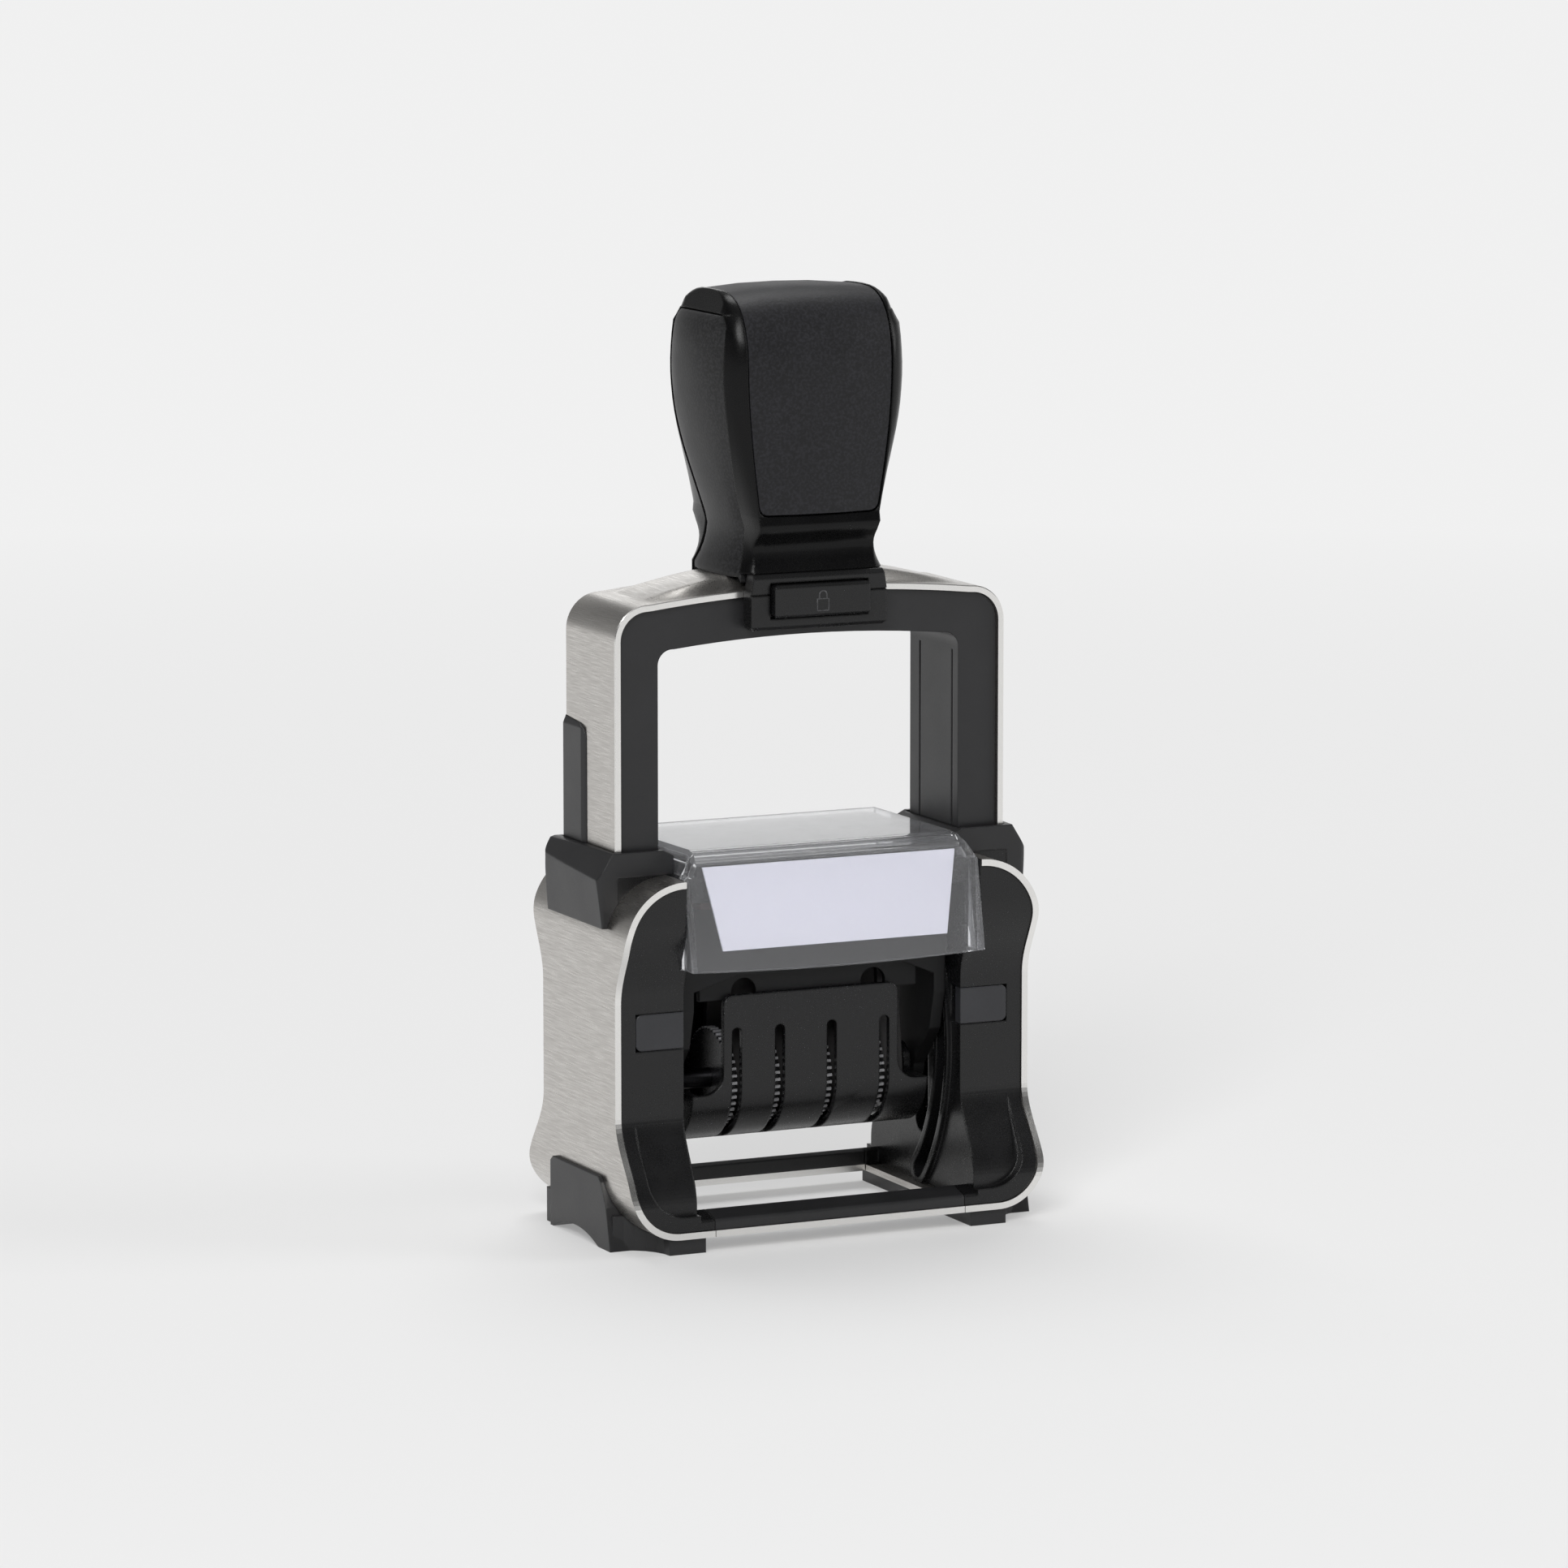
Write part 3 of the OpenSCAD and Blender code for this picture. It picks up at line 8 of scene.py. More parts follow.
import bmesh
import bpy
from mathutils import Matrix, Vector


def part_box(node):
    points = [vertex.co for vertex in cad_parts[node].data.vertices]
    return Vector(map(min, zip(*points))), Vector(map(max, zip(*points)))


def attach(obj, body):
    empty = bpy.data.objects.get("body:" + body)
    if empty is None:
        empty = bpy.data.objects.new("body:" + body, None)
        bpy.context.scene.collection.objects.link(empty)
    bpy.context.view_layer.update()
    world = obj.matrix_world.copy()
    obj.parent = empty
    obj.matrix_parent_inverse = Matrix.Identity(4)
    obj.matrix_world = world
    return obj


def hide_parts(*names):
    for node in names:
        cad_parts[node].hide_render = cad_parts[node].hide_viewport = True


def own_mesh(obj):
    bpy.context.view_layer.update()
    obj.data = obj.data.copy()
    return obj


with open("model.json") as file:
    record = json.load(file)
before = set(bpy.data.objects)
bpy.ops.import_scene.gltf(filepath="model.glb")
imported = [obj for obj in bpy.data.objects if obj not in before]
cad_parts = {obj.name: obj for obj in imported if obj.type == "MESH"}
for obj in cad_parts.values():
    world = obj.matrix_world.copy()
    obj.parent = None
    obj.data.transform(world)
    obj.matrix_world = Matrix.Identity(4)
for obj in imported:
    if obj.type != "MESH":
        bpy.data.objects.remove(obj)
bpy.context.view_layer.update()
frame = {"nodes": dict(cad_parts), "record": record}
nodes = frame["nodes"]
MM = 0.001


# Shader building
class Shader:
    """A material with one Principled shader, which its nodes feed."""

    def __init__(self, name, **constants):
        self.material = bpy.data.materials.new(name)
        self.material.use_nodes = True
        self.tree = self.material.node_tree
        self.main = self.tree.nodes["Principled BSDF"]
        for socket, value in constants.items():
            self.main.inputs[socket.replace("_", " ")].default_value = value
        self.object_coords = self.node("TexCoord").outputs["Object"]

    def node(self, kind, settings=None, **inputs):
        made = self.tree.nodes.new("ShaderNode" + kind)
        for key, value in (settings or {}).items():
            setattr(made, key, value)
        for socket, value in inputs.items():
            self.feed(made.inputs[socket.replace("_", " ")], value)
        return made

    def feed(self, socket, value):
        if isinstance(value, bpy.types.NodeSocket):
            self.tree.links.new(value, socket)
        else:
            socket.default_value = value

    def noise(self, size, detail=3.0, stretch=(1, 1, 1)):
        """Noise whose features are about size metres across, times stretch along each axis."""
        scale = [1 / (size * s) for s in stretch]
        mapped = self.node("Mapping", Vector=self.object_coords, Scale=scale)
        return self.node("TexNoise", Vector=mapped.outputs[0], Scale=1.0, Detail=detail).outputs["Fac"]

    def ramp(self, fac, *stops):
        """A blend through (position, value) stops; a value is a number or a colour."""
        ramp = self.node("ValToRGB", Fac=fac)
        marks = ramp.color_ramp.elements
        while len(marks) < len(stops):
            marks.new(0.5)
        for mark, (position, value) in zip(marks, stops):
            mark.position = position
            rgb = value if isinstance(value, (tuple, list)) else (value, value, value)
            mark.color = (*rgb, 1)
        return ramp.outputs["Color"]

    def math(self, operation, a, b=0.0):
        made = self.node("Math", {"operation": operation})
        self.feed(made.inputs[0], a)
        self.feed(made.inputs[1], b)
        return made.outputs[0]

    def mix(self, fac, a, b):
        made = self.node("Mix", {"data_type": "RGBA"})
        self.feed(made.inputs["Factor"], fac)
        self.feed(made.inputs[6], a)
        self.feed(made.inputs[7], b)
        return made.outputs[2]

    def relief(self, height, depth, edge=0.0):
        """Bump of the given depth in metres, over edges rounded to the radius edge."""
        bump = self.node("Bump", Height=height, Distance=depth, Strength=1.0)
        if edge:
            rounded = self.node("Bevel", {"samples": 4}, Radius=edge)
            self.feed(bump.inputs["Normal"], rounded.outputs[0])
        self.feed(self.main.inputs["Normal"], bump.outputs[0])

    def colour(self, value):
        self.feed(self.main.inputs["Base Color"], value)

    def roughness(self, value):
        self.feed(self.main.inputs["Roughness"], value)


# Finishes
EDGE = 0.25 * MM
SOFT_EDGE = 0.40 * MM
STREAK_W, STREAK_STRETCH = 0.12 * MM, (1, 34, 1)
PATCH_W, PATCH_STRETCH, PATCH_SHARE = 2.6 * MM, (1, 5, 1), 0.30
CUT_FACING = (0.58, 0.70)
CUT_ROUGH = (0.24, 0.24, 0.24, 1)
HANDLED_W = 6 * MM
HANDLED_GAIN = 1.25
# Inward and outward blend widths of the painted highlight on the wheel's tooth crests
CREST_HIGHLIGHT_BLEND = (0.15 * MM, 0.10 * MM)
GRAIN_GAIN = 1.3


def scaled(colour, gain):
    """A colour made brighter or darker by a factor."""
    return tuple(gain * c for c in colour)


def brushed_steel(name, light, dark, cut):
    """Steel brushed along Y, with brighter cut edges where the sheet faces front or back."""
    s = Shader(name, Metallic=1.0, Anisotropic=0.45, Anisotropic_Rotation=0.25)
    streaks = s.noise(STREAK_W, 4.0, STREAK_STRETCH)
    patches = s.noise(PATCH_W, 2.0, PATCH_STRETCH)
    facing = s.node("SeparateXYZ", Vector=s.node("NewGeometry").outputs["Normal"]).outputs["Y"]
    is_cut = s.ramp(s.math("ABSOLUTE", facing), (CUT_FACING[0], 0.0), (CUT_FACING[1], 1.0))
    sheet = s.mix(s.ramp(streaks, (0.28, 0.0), (0.72, 1.0)), dark, light)
    sheet = s.mix(s.math("MULTIPLY", patches, PATCH_SHARE), sheet, dark)
    s.colour(s.mix(is_cut, sheet, cut))
    s.roughness(s.mix(is_cut, s.ramp(streaks, (0.25, 0.36), (0.75, 0.24)), CUT_ROUGH))
    s.relief(streaks, 0.004 * MM)
    return s.material


def moulded(name, colour, rough, grain, depth, edge=EDGE, speckle=1.1, **constants):
    """Moulded plastic with a fine spark-eroded grain and faint handling marks.

    The crests of the grain are speckle times as bright as the ground between them.
    """
    s = Shader(name, **constants)
    fine = s.noise(grain, 2.0)
    broad = s.noise(HANDLED_W, 3.0)
    bright = scaled(colour, HANDLED_GAIN)
    ground = s.ramp(broad, (0.3, colour), (0.75, bright))
    crest = s.ramp(broad, (0.3, scaled(colour, speckle)), (0.75, scaled(bright, speckle)))
    s.colour(s.mix(s.ramp(fine, (0.42, 0.0), (0.66, 1.0)), ground, crest))
    both = s.math("ADD", s.math("MULTIPLY", fine, 0.5), s.math("MULTIPLY", broad, 0.5))
    s.roughness(s.ramp(both, (0.3, rough - 0.06), (0.7, rough + 0.07)))
    s.relief(fine, depth, edge)
    return s.material


def crest_highlit_wheel(name, colour, crest, axle_z, highlight_r):
    """Moulded plastic whose tooth crests, the given radius and more from the axle, are painted pale as a
    highlight.
    """
    s = Shader(name, Specular_IOR_Level=0.55)
    fine = s.noise(0.20 * MM, 2.0)
    place = s.node("SeparateXYZ", Vector=s.object_coords)
    height = s.math("SUBTRACT", place.outputs["Z"], axle_z)
    reach_y = s.math("MULTIPLY", place.outputs["Y"], place.outputs["Y"])
    reach_z = s.math("MULTIPLY", height, height)
    reach = s.math("SQRT", s.math("ADD", reach_y, reach_z))
    # Painted highlight: beyond the crest radius the teeth take the pale crest colour
    crest_highlight = s.node("MapRange", Value=reach, From_Min=highlight_r - CREST_HIGHLIGHT_BLEND[0],
                    From_Max=highlight_r + CREST_HIGHLIGHT_BLEND[1])
    ground = s.ramp(fine, (0.3, colour), (0.7, scaled(colour, GRAIN_GAIN)))
    pale = s.ramp(fine, (0.3, crest), (0.7, scaled(crest, GRAIN_GAIN)))
    s.colour(s.mix(crest_highlight.outputs[0], ground, pale))
    s.roughness(s.ramp(fine, (0.3, 0.24), (0.7, 0.36)))
    s.relief(fine, 0.004 * MM, 0.08 * MM)
    return s.material


def ground_metal(name, colour, rough):
    """Bright or blacked metal with fine grinding lines across X."""
    s = Shader(name, Metallic=1.0)
    lines = s.noise(0.12 * MM, 3.0, (1, 8, 8))
    s.colour(s.ramp(lines, (0.3, scaled(colour, 0.8)), (0.7, colour)))
    s.roughness(s.ramp(lines, (0.3, rough + 0.08), (0.7, rough - 0.05)))
    s.relief(lines, 0.006 * MM)
    return s.material


def clear_plastic(name):
    """Clear moulding that lets lamp light through to what it covers."""
    s = Shader(name, Transmission_Weight=0.95, IOR=1.49, Base_Color=(0.93, 0.935, 0.95, 1))
    s.roughness(s.ramp(s.noise(3 * MM, 2.0), (0.35, 0.02), (0.7, 0.07)))
    passing = s.node("BsdfTransparent", Color=(0.86, 0.87, 0.90, 1))
    shadow = s.node("LightPath").outputs["Is Shadow Ray"]
    blend = s.node("MixShader", Fac=shadow)
    s.tree.links.new(s.main.outputs[0], blend.inputs[1])
    s.tree.links.new(passing.outputs[0], blend.inputs[2])
    s.tree.links.new(blend.outputs[0], s.tree.nodes["Material Output"].inputs["Surface"])
    return s.material


def card(name):
    """White card with a faint fibre."""
    s = Shader(name)
    fibres = s.noise(0.25 * MM, 4.0, (3, 1, 1))
    s.colour(s.ramp(fibres, (0.3, (0.635, 0.625, 0.680)), (0.7, (0.670, 0.660, 0.710))))
    s.roughness(s.ramp(fibres, (0.3, 0.62), (0.7, 0.78)))
    s.relief(fibres, 0.01 * MM)
    return s.material


def felt(name):
    """Ink-soaked felt: matted fibres, wet and dark where the ink has gathered."""
    s = Shader(name, Sheen_Weight=0.25, Sheen_Roughness=0.5)
    fibres = s.noise(0.35 * MM, 6.0, (1, 2.2, 1))
    pools = s.noise(5 * MM, 3.0)
    is_dry = s.ramp(pools, (0.35, 0.0), (0.7, 1.0))
    s.colour(s.mix(is_dry, (0.012, 0.012, 0.030, 1), (0.030, 0.030, 0.070, 1)))
    s.roughness(s.ramp(pools, (0.35, 0.38), (0.7, 0.85)))
    s.relief(fibres, 0.12 * MM)
    return s.material


STEEL = brushed_steel("brushed_steel", light=(0.70, 0.68, 0.65, 1), dark=(0.48, 0.46, 0.435, 1),
                      cut=(0.86, 0.85, 0.83, 1))
PINS = ground_metal("ground_pins", (0.62, 0.62, 0.63), 0.25)
DARK_PIN = ground_metal("blacked_pin", (0.06, 0.06, 0.065), 0.35)
SPRING = ground_metal("spring_wire", (0.50, 0.50, 0.52), 0.30)
BLACK = moulded("black_plastic", (0.0060, 0.0060, 0.0064), 0.28, 0.22 * MM, 0.005 * MM, SOFT_EDGE,
                Specular_IOR_Level=0.40)
FRAME = moulded("handle_plastic", (0.0160, 0.0160, 0.0170), 0.36, 0.22 * MM, 0.006 * MM, SOFT_EDGE,
                Specular_IOR_Level=0.42)
CATCH = moulded("catch_plastic", (0.0230, 0.0235, 0.0265), 0.34, 0.30 * MM, 0.006 * MM, SOFT_EDGE,
                Specular_IOR_Level=0.45)
UNIT = moulded("unit_plastic", (0.0045, 0.0045, 0.0048), 0.42, 0.22 * MM, 0.006 * MM,
               Specular_IOR_Level=0.26)
CORE = moulded("gloss_black", (0.0034, 0.0034, 0.0036), 0.26, 0.30 * MM, 0.003 * MM, SOFT_EDGE,
               Specular_IOR_Level=0.17)
axle_low, axle_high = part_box("wheel_axle")
rim_low, rim_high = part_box("band_wheel_1")
rim_r = (rim_high.z - rim_low.z) / 2
# The wheel's tooth crests are painted pale as a highlight, over this depth from their tips
CREST_HIGHLIGHT_DEPTH = 0.22 * MM
WHEEL = crest_highlit_wheel("wheel_plastic", (0.012, 0.012, 0.013), (0.30, 0.30, 0.31),
                   (axle_low.z + axle_high.z) / 2, rim_r - CREST_HIGHLIGHT_DEPTH)
TRAY = moulded("tray_plastic", (0.020, 0.020, 0.023), 0.40, 0.22 * MM, 0.008 * MM)
PANEL = moulded("grip_panel", (0.0050, 0.0050, 0.0062), 0.50, 0.42 * MM, 0.030 * MM, speckle=2.6,
                Specular_IOR_Level=0.34)
SOFT = moulded("soft_grip", (0.0085, 0.0085, 0.0090), 0.48, 0.40 * MM, 0.030 * MM, speckle=2.6,
               Specular_IOR_Level=0.42)
CLEAR = clear_plastic("clear_plastic")
CARD = card("white_card")
FELT = felt("ink_felt")
TYPE = moulded("type_rubber", (0.060, 0.030, 0.026), 0.62, 0.35 * MM, 0.02 * MM)
BAND = moulded("band_rubber", (0.024, 0.023, 0.023), 0.55, 0.30 * MM, 0.02 * MM)
# Painted highlight: the padlock is the button's black moulding, coloured lighter as if catching light
SIGN = moulded("sign_plastic", (0.045, 0.045, 0.048), 0.30, 0.20 * MM, 0.004 * MM)

FINISH = {"steel": STEEL, "pin_steel": PINS, "spring_steel": SPRING, "black_plastic": BLACK,
          "wheel_plastic": WHEEL, "tray_plastic": TRAY, "grip_panel": PANEL, "soft_grip": SOFT,
          "clear_plastic": CLEAR, "card": CARD, "ink_felt": FELT, "type_rubber": TYPE, "band_rubber": BAND}
OWN_FINISH = {"bracket_frame": FRAME, "rail_left": FRAME, "rail_right": FRAME, "grip_core": CORE,
              "catch_left": CATCH, "catch_right": CATCH, "die_frame": UNIT, "wheel_axle": DARK_PIN,
              "front_bar": FRAME, "rear_bar": FRAME, "shoulder_left": FRAME, "shoulder_right": FRAME,
              "foot_left": FRAME, "foot_right": FRAME}
SMOOTH_ANGLE = math.radians(28)

for part in frame["record"]["subparts"]:
    name = part["node"]
    mesh = nodes[name].data
    mesh.materials.clear()
    mesh.materials.append(OWN_FINISH.get(name, FINISH[part["material_slot"]]))


# Piece building
def add_piece(name, verts, faces, material, body, slot, replaced=()):
    """A mesh piece that rides on a body, with its material, and with the nodes it stands for hidden; slot
    is not used.
    """
    mesh = bpy.data.meshes.new(name)
    mesh.from_pydata(verts, [], faces)
    mesh.materials.append(material)
    piece = bpy.data.objects.new(name, mesh)
    bpy.context.scene.collection.objects.link(piece)
    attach(piece, body)
    if replaced:
        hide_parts(*replaced)
    return piece


def smooth(piece, angle=SMOOTH_ANGLE):
    """Smooth shading, with edges sharper than the angle left crisp."""
    piece.data.shade_smooth()
    piece.data.set_sharp_from_angle(angle=angle)


def facing_out(piece):
    """Turns all faces of a closed piece outwards."""
    whole = bmesh.new()
    whole.from_mesh(piece.data)
    bmesh.ops.recalc_face_normals(whole, faces=whole.faces)
    whole.to_mesh(piece.data)
    whole.free()
    return piece


def bridge(rings, caps=True):
    """Vertices and faces of a skin through rings of equal count, with or without caps at its ends."""
    count = len(rings[0])
    verts = [point for ring in rings for point in ring]
    faces = []
    for i in range(len(rings) - 1):
        for k in range(count):
            n = (k + 1) % count
            faces.append((i * count + k, i * count + n, (i + 1) * count + n, (i + 1) * count + k))
    if caps:
        faces.append(tuple(reversed(range(count))))
        faces.append(tuple(range((len(rings) - 1) * count, len(rings) * count)))
    return verts, faces


# Grip and clear cover: their nodes again, shaded as smooth skins with crisp seams
SAME_PLACE = 0.0001 * MM
FLAT_ANGLE = math.radians(0.5)
ROUND_STEPS = 3
COVER_ROUND = 0.30 * MM


def smooth_copy(node, body, slot, replacing_name, round_r=0.0):
    """A piece of the node's own shape, smooth-shaded, with its sharp edges rounded to round_r."""
    source = nodes[node].data
    index = {}
    verts = []
    corner = []
    for vertex in source.vertices:
        key = tuple(round(c / SAME_PLACE) for c in vertex.co)
        if key not in index:
            index[key] = len(verts)
            verts.append(tuple(vertex.co))
        corner.append(index[key])
    faces = [tuple(corner[v] for v in face.vertices) for face in source.polygons]
    faces = [face for face in faces if len(set(face)) == len(face)]
    piece = add_piece(replacing_name, verts, faces, source.materials[0], body, slot, [node])
    if round_r:
        whole = bmesh.new()
        whole.from_mesh(piece.data)
        bmesh.ops.dissolve_limit(whole, angle_limit=FLAT_ANGLE, verts=whole.verts, edges=whole.edges)
        whole.to_mesh(piece.data)
        whole.free()
        rounding = piece.modifiers.new("rounding", "BEVEL")
        rounding.width = round_r
        rounding.segments = ROUND_STEPS
        rounding.limit_method = "ANGLE"
        rounding.angle_limit = SMOOTH_ANGLE
    smooth(piece)
    weighted = piece.modifiers.new("weighted", "WEIGHTED_NORMAL")
    weighted.keep_sharp = True
    return piece


smooth_copy("grip_core", "handle", "black_plastic", "grip_core_skin")
smooth_copy("grip_panel", "handle", "grip_panel", "grip_panel_skin")
smooth_copy("grip_side_left", "handle", "soft_grip", "grip_side_left_skin")
smooth_copy("grip_side_right", "handle", "soft_grip", "grip_side_right_skin")
smooth_copy("window_cover", "body", "clear_plastic", "window_cover_skin", COVER_ROUND)


# Steel bracket: a strip bent into an inverted U, whose top swells into a low dome under the grip
STRIP_T = 1.0 * MM
STRIP_EDGE = 0.15 * MM
BEND_R = 5.5 * MM
BEND_STEPS = 14
CROWN_Z, CROWN_RISE, CROWN_R = 99.9 * MM, 1.6 * MM, 230.3 * MM
CROWN_STEPS = 72
DOME_Z, DOME_R = 102.3 * MM, 93.2 * MM
DOME_BLEND = 0.35 * MM
DOME_FADE = (25.0 * MM, 28.0 * MM)
DOME_FLANK = (4.7 * MM, 8.95 * MM)
STRIP_ROWS = 37
strip_low, strip_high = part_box("bracket_band")
strip_half_x, strip_half_y = strip_high.x, strip_high.y
bend_x = strip_half_x - BEND_R
bend_z = CROWN_Z - CROWN_RISE - BEND_R


def ease(value, start, end):
    """0 before start, 1 after end, with a smooth rise between them."""
    share = min(1, max(0, (value - start) / (end - start)))
    return share * share * (3 - 2 * share)


def strip_path(inset):
    """Points in X and Z along the bracket, from the left leg's end to the right one's."""
    bend = [math.radians(90 * k / BEND_STEPS) for k in range(BEND_STEPS + 1)]
    r = BEND_R - inset
    left = [(-strip_half_x + inset, strip_low.z)]
    left += [(-bend_x - r * math.cos(a), bend_z + r * math.sin(a)) for a in bend]
    crown = []
    for k in range(1, CROWN_STEPS):
        x = bend_x * (2 * k / CROWN_STEPS - 1)
        crown.append((x, CROWN_Z - inset - CROWN_R + math.sqrt(CROWN_R ** 2 - x ** 2)))
    return left + crown + [(-x, z) for x, z in reversed(left)]


def dome_lift(x, y, crown_z):
    """Height of the dome over the crown, nothing at the bends and along the front and back edges."""
    over = DOME_Z - DOME_R + math.sqrt(DOME_R ** 2 - x ** 2) - crown_z
    height = (over + math.hypot(over, DOME_BLEND)) / 2
    return height * (1 - ease(abs(x), *DOME_FADE)) * (1 - ease(abs(y), *DOME_FLANK))


row_ys = [strip_half_y * (2 * k / (STRIP_ROWS - 1) - 1) for k in range(STRIP_ROWS)]
strip_rings = []
for outer, edge, inner in zip(strip_path(0), strip_path(STRIP_EDGE), strip_path(STRIP_T)):
    ring = [(edge[0], -strip_half_y, edge[1])]
    for y in row_ys:
        y = max(-strip_half_y + STRIP_EDGE, min(strip_half_y - STRIP_EDGE, y))
        ring.append((outer[0], y, outer[1] + dome_lift(outer[0], y, outer[1])))
    ring.append((edge[0], strip_half_y, edge[1]))
    ring += [(inner[0], y, inner[1]) for y in (strip_half_y, -strip_half_y)]
    strip_rings.append(ring)
bracket_skin = add_piece("bracket_band_skin", *bridge(strip_rings), STEEL, "handle", "steel",
                         ["bracket_band"])
smooth(facing_out(bracket_skin))


# Webs that close the corners between the shoulders and the band, in front of and behind the legs
WEB_CORNER_R = 10 * MM
WEB_LAP = 0.1 * MM
WEB_INSET = 0.05 * MM
WEB_GAP = 0.30 * MM
WEB_STEPS = 12
band_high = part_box("band_right")[1]
shoulder_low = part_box("shoulder_right")[0]
web_front = shoulder_low.y + WEB_INSET
web_back = strip_low.y - WEB_GAP
corner_x = band_high.x - WEB_CORNER_R
corner_z = band_high.z - WEB_CORNER_R
web_end = strip_high.x + WEB_LAP


def web_outline():
    """Outline in X and Z: along the band's rounded corner, then back under the shoulder."""
    arc_r = WEB_CORNER_R - WEB_LAP
    points = []
    for step in range(WEB_STEPS + 1):
        x = corner_x + (web_end - corner_x) * step / WEB_STEPS
        points.append((x, corner_z + math.sqrt(arc_r ** 2 - (x - corner_x) ** 2)))
    top_z = band_high.z + WEB_LAP
    return points + [(web_end, top_z), (corner_x, top_z)]


def web_piece(name, side):
    """The front and the back plate of one side's web, as one piece."""
    verts, faces = [], []
    for y_near, y_far in ((web_front, web_back), (-web_back, -web_front)):
        rings = [[(side * x, y, z) for x, z in web_outline()] for y in (y_near, y_far)]
        plate_verts, plate_faces = bridge(rings)
        faces += [tuple(len(verts) + v for v in face) for face in plate_faces]
        verts += plate_verts
    facing_out(add_piece(name, verts, faces, BLACK, "body", "black_plastic"))


web_piece("shoulder_web_left", -1)
web_piece("shoulder_web_right", 1)


# Return springs: smooth-shaded copies of their nodes, riding on the body
for node in ("return_spring_left", "return_spring_right"):
    spring_low, spring_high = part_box(node)
    spring_foot = (spring_low + spring_high) / 2
    spring_foot.z = spring_low.z
    coil = smooth_copy(node, "body", "spring_steel", node + "_coil")
    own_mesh(coil)


# Rounded outline of the cover's relief and of the ink pad
CORNER_STEPS = 6
CORNER_LEAST = 0.15 * MM


def round_rect(mid, half, corner, inset=0.0):
    """Outline of a rounded rectangle, in two axes, drawn in by inset all round."""
    half_u = half[0] - inset
    half_v = half[1] - inset
    r = max(corner - inset, CORNER_LEAST)
    points = []
    for su, sv, start in ((1, 1, 0), (-1, 1, 90), (-1, -1, 180), (1, -1, 270)):
        for k in range(CORNER_STEPS + 1):
            a = math.radians(start + 90 * k / CORNER_STEPS)
            points.append((mid[0] + su * (half_u - r) + r * math.cos(a),
                           mid[1] + sv * (half_v - r) + r * math.sin(a)))
    return points


# Relief on the date unit's rear cover: a raised border and three ribs for the fingers
COVER_HALF_X, COVER_LOW, COVER_HIGH, COVER_CORNER = 18.4 * MM, 13.8 * MM, 41.4 * MM, 2.5 * MM
COVER_FACE = 9.3 * MM
RELIEF = 0.40 * MM
RELIEF_ROOT = 0.1 * MM
DRAFT = 0.15 * MM
BORDER_INSET, BORDER_W = 1.6 * MM, 1.0 * MM
RIB_HALF, RIB_PITCH, RIB_FIRST, RIB_COUNT = (10 * MM, 0.6 * MM), 3.2 * MM, 18.6 * MM, 3
RIB_CORNER = 0.5 * MM
cover_mid = (0, (COVER_LOW + COVER_HIGH) / 2)
cover_half = (COVER_HALF_X, (COVER_HIGH - COVER_LOW) / 2)
root_y, crest_y = COVER_FACE - RELIEF_ROOT, COVER_FACE + RELIEF
border_loops = ((BORDER_INSET, root_y), (BORDER_INSET + DRAFT, crest_y),
                (BORDER_INSET + BORDER_W - DRAFT, crest_y), (BORDER_INSET + BORDER_W, root_y),
                (BORDER_INSET, root_y))
border_rings = [[(x, y, z) for x, z in round_rect(cover_mid, cover_half, COVER_CORNER, inset)]
                for inset, y in border_loops]
relief_verts, relief_faces = bridge(border_rings, caps=False)
for rib in range(RIB_COUNT):
    rib_mid = (0, RIB_FIRST + rib * RIB_PITCH)
    rib_rings = [[(x, y, z) for x, z in round_rect(rib_mid, RIB_HALF, RIB_CORNER, inset)]
                 for inset, y in ((0, root_y), (DRAFT, crest_y))]
    rib_verts, rib_faces = bridge(rib_rings)
    relief_faces += [tuple(len(relief_verts) + v for v in face) for face in rib_faces]
    relief_verts += rib_verts
cover_relief = add_piece("unit_cover_relief", relief_verts, relief_faces, UNIT, "date_unit",
                         "black_plastic")
smooth(facing_out(cover_relief))


# Ink pad: felt with a rounded rim, slightly crowned towards the type
PAD_RIM = 0.7 * MM
PAD_CROWN = 0.22 * MM
PAD_CORNER = 1.2 * MM
RIM_STEPS = 6
CROWN_RINGS = 8
CROWN_REACH = 8.5
PAD_SMOOTH = math.radians(60)
pad_low, pad_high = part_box("ink_pad")
pad_mid = (pad_low + pad_high) / 2
pad_half = (pad_high - pad_low) / 2


def pad_outline(inset):
    """The pad's rounded outline in X and Y, drawn in by inset."""
    return round_rect(pad_mid.xy, pad_half.xy, PAD_CORNER, inset)


pad_rings = [[(x, y, pad_high.z) for x, y in pad_outline(0)]]
for step in range(RIM_STEPS + 1):
    a = math.radians(90 * step / RIM_STEPS)
    rim_z = pad_low.z + PAD_CROWN + PAD_RIM * (1 - math.sin(a))
    pad_rings.append([(x, y, rim_z) for x, y in pad_outline(PAD_RIM * (1 - math.cos(a)))])
for step in range(1, CROWN_RINGS + 1):
    size = 1 - step / CROWN_REACH
    crown_z = pad_low.z + PAD_CROWN * size ** 2
    pad_rings.append([(pad_mid.x + (x - pad_mid.x) * size, pad_mid.y + (y - pad_mid.y) * size, crown_z)
                      for x, y in pad_outline(PAD_RIM)])
felt_pad = add_piece("felt_pad", *bridge(pad_rings), FELT, "ink_cassette", "ink_felt", ["ink_pad"])
smooth(facing_out(felt_pad), PAD_SMOOTH)


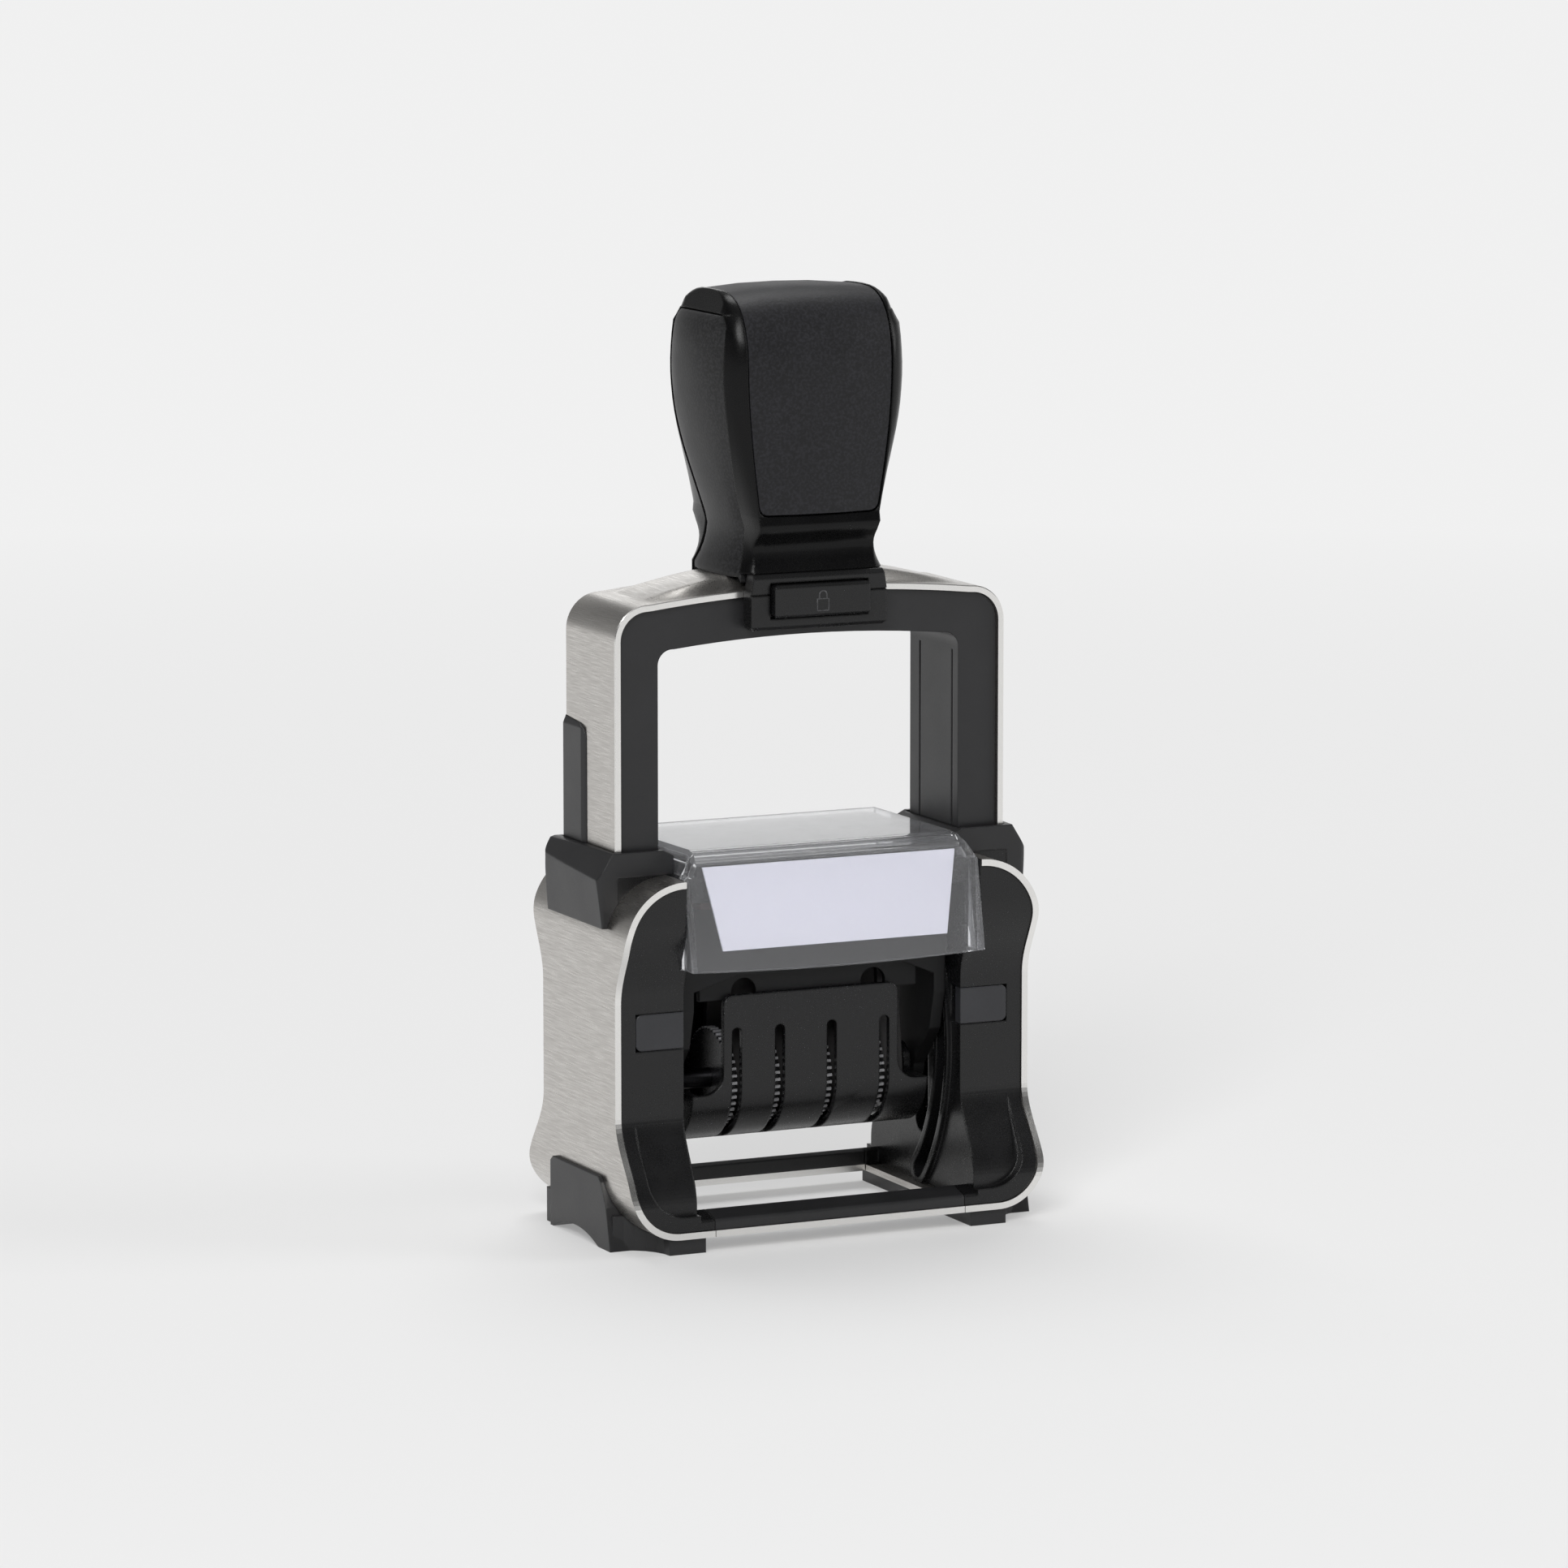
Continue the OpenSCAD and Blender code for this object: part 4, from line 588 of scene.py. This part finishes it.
# Padlock pictogram, raised on the lock button
LINE = 0.13 * MM
LINE_OUT = 0.3 * LINE
SHACKLE_STEPS = 9
button_low, button_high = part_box("lock_button")
sign_x = (button_low.x + button_high.x) / 2
sign_z = (button_low.z + button_high.z) / 2
shackle_half, shackle_z = 0.62 * MM, 0.75 * MM
lock_half, lock_low, lock_high = 0.95 * MM, -1.65 * MM, 0.15 * MM
shackle = [(-shackle_half, lock_high)]
for step in range(SHACKLE_STEPS + 1):
    a = math.radians(180 * step / SHACKLE_STEPS)
    shackle.append((-shackle_half * math.cos(a), shackle_z + shackle_half * math.sin(a)))
shackle += [(shackle_half, lock_high)]
case = [(-lock_half, lock_low), (lock_half, lock_low), (lock_half, lock_high), (-lock_half, lock_high)]
sign = bpy.data.curves.new("padlock_sign", "CURVE")
sign.dimensions = "3D"
sign.bevel_depth = LINE
sign.bevel_resolution = 3
sign.use_fill_caps = True
for points, closed in ((shackle, False), (case, True)):
    spline = sign.splines.new("POLY")
    spline.points.add(len(points) - 1)
    spline.use_cyclic_u = closed
    for point, (x, z) in zip(spline.points, points):
        point.co = (sign_x + x, button_low.y + LINE_OUT, sign_z + z, 1)
sign.materials.append(SIGN)
sign_piece = bpy.data.objects.new("padlock_sign", sign)
bpy.context.scene.collection.objects.link(sign_piece)
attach(sign_piece, "lock")


# Stage: a pale floor that keeps a soft shadow and shows the same tone to the camera, metal and glass
FLOOR_HALF = 40.0
GLOW_NEAR, GLOW_FAR = 0.34, 1.0
GLOW_FROM, GLOW_TO = 0.15, 0.9
BACKGROUND = 0.875
floor_mesh = bpy.data.meshes.new("floor")
floor_mesh.from_pydata([(-FLOOR_HALF, -FLOOR_HALF, 0), (FLOOR_HALF, -FLOOR_HALF, 0),
                        (FLOOR_HALF, FLOOR_HALF, 0), (-FLOOR_HALF, FLOOR_HALF, 0)], [], [(0, 1, 2, 3)])
floor = bpy.data.objects.new("floor", floor_mesh)
bpy.context.scene.collection.objects.link(floor)
pale = Shader("pale_floor", Roughness=0.9, Specular_IOR_Level=0.1, Base_Color=(0.80, 0.80, 0.80, 1))
rays = pale.node("LightPath").outputs
mirrored = pale.math("MAXIMUM", rays["Is Glossy Ray"], rays["Is Transmission Ray"])
seen_rays = pale.math("MAXIMUM", rays["Is Camera Ray"], mirrored)
glow = pale.node("Emission", Color=(BACKGROUND, BACKGROUND, BACKGROUND, 1))
away = pale.node("VectorMath", {"operation": "LENGTH"}, Vector=pale.object_coords).outputs["Value"]
glow_share = pale.node("MapRange", Value=away, From_Min=GLOW_FROM, From_Max=GLOW_TO,
                       To_Min=GLOW_NEAR, To_Max=GLOW_FAR)
floor_mix = pale.node("MixShader", Fac=pale.math("MULTIPLY", seen_rays, glow_share.outputs[0]))
pale.tree.links.new(pale.main.outputs[0], floor_mix.inputs[1])
pale.tree.links.new(glow.outputs[0], floor_mix.inputs[2])
pale.tree.links.new(floor_mix.outputs[0], pale.tree.nodes["Material Output"].inputs["Surface"])
floor_mesh.materials.append(pale.material)

# World: a plain room with a pale wall and a dim ceiling, dimmer on the camera's side and to the left
WALL_TONES = ((0.0, 0.86), (0.18, 0.82), (0.32, 0.50), (0.45, 0.18), (1.0, 0.18))
FRONT_DIM = {"From Min": -0.75, "From Max": 0.35, "To Min": 0.35, "To Max": 1.0}
LEFT_DIM = {"From Min": -0.40, "From Max": 0.20, "To Min": 0.30, "To Max": 1.0}
world = bpy.data.worlds.new("studio")
bpy.context.scene.world = world
world.use_nodes = True
tree = world.node_tree
direction = tree.nodes.new("ShaderNodeTexCoord").outputs["Generated"]
split = tree.nodes.new("ShaderNodeSeparateXYZ")
tree.links.new(direction, split.inputs[0])


def world_blend(axis, span):
    """A share that runs along one axis of the direction, over the given span."""
    blend = tree.nodes.new("ShaderNodeMapRange")
    tree.links.new(split.outputs[axis], blend.inputs["Value"])
    for socket, value in span.items():
        blend.inputs[socket].default_value = value
    return blend.outputs[0]


def world_product(a, b):
    product = tree.nodes.new("ShaderNodeMath")
    product.operation = "MULTIPLY"
    tree.links.new(a, product.inputs[0])
    tree.links.new(b, product.inputs[1])
    return product.outputs[0]


walls = tree.nodes.new("ShaderNodeValToRGB")
tree.links.new(split.outputs["Z"], walls.inputs[0])
wall_marks = walls.color_ramp.elements
while len(wall_marks) < len(WALL_TONES):
    wall_marks.new(0.5)
for mark, (height, tone) in zip(wall_marks, WALL_TONES):
    mark.position = height
    mark.color = (tone, tone, tone, 1)
sides = world_product(world_blend("Y", FRONT_DIM), world_blend("X", LEFT_DIM))
tree.links.new(world_product(sides, walls.outputs["Color"]), tree.nodes["Background"].inputs["Color"])

# Lamps: soft boxes to the left, above, to the right and behind, and a broad even light from above
AIM = Vector((0, 0, 0.07))
SKY_POWER, SKY_ANGLE = 0.35, math.radians(80)


def place_lamp(data, name, place):
    """Hangs a lamp at a place, aimed at the middle of the stamp."""
    lamp = bpy.data.objects.new(name, data)
    lamp.location = place
    lamp.rotation_euler = (AIM - Vector(place)).to_track_quat("-Z", "Y").to_euler()
    bpy.context.scene.collection.objects.link(lamp)


def soft_box(name, place, size, power):
    data = bpy.data.lights.new(name, "AREA")
    data.shape = "RECTANGLE"
    data.size, data.size_y = size
    data.energy = power
    place_lamp(data, name, place)


soft_box("key_left", (-0.80, -1.10, 1.00), size=(0.7, 0.7), power=16)
soft_box("top_back", (0.10, 0.55, 1.30), size=(1.0, 0.6), power=9)
soft_box("fill_right", (1.15, -0.55, 0.60), size=(0.5, 0.9), power=5)
soft_box("back_card", (0.55, 1.45, 0.58), size=(0.45, 0.22), power=0.35)
sky = bpy.data.lights.new("sky", "SUN")
sky.energy = SKY_POWER
sky.angle = SKY_ANGLE
place_lamp(sky, "sky", (-0.4, -0.3, 1.5))

# Camera at the photograph's viewpoint
LENS, SENSOR = 178.3, 36
CAMERA_PLACE = Vector((-0.5033, -1.0705, 0.2507))
CAMERA_TARGET = Vector((-0.00033, 0, 0.06791))
camera_data = bpy.data.cameras.new("camera")
camera_data.lens = LENS
camera_data.sensor_width = SENSOR
camera = bpy.data.objects.new("camera", camera_data)
camera.location = CAMERA_PLACE
camera.rotation_euler = (CAMERA_TARGET - CAMERA_PLACE).to_track_quat("-Z", "Y").to_euler()
bpy.context.scene.collection.objects.link(camera)
bpy.context.scene.camera = camera

bpy.context.scene.view_settings.view_transform = "Standard"
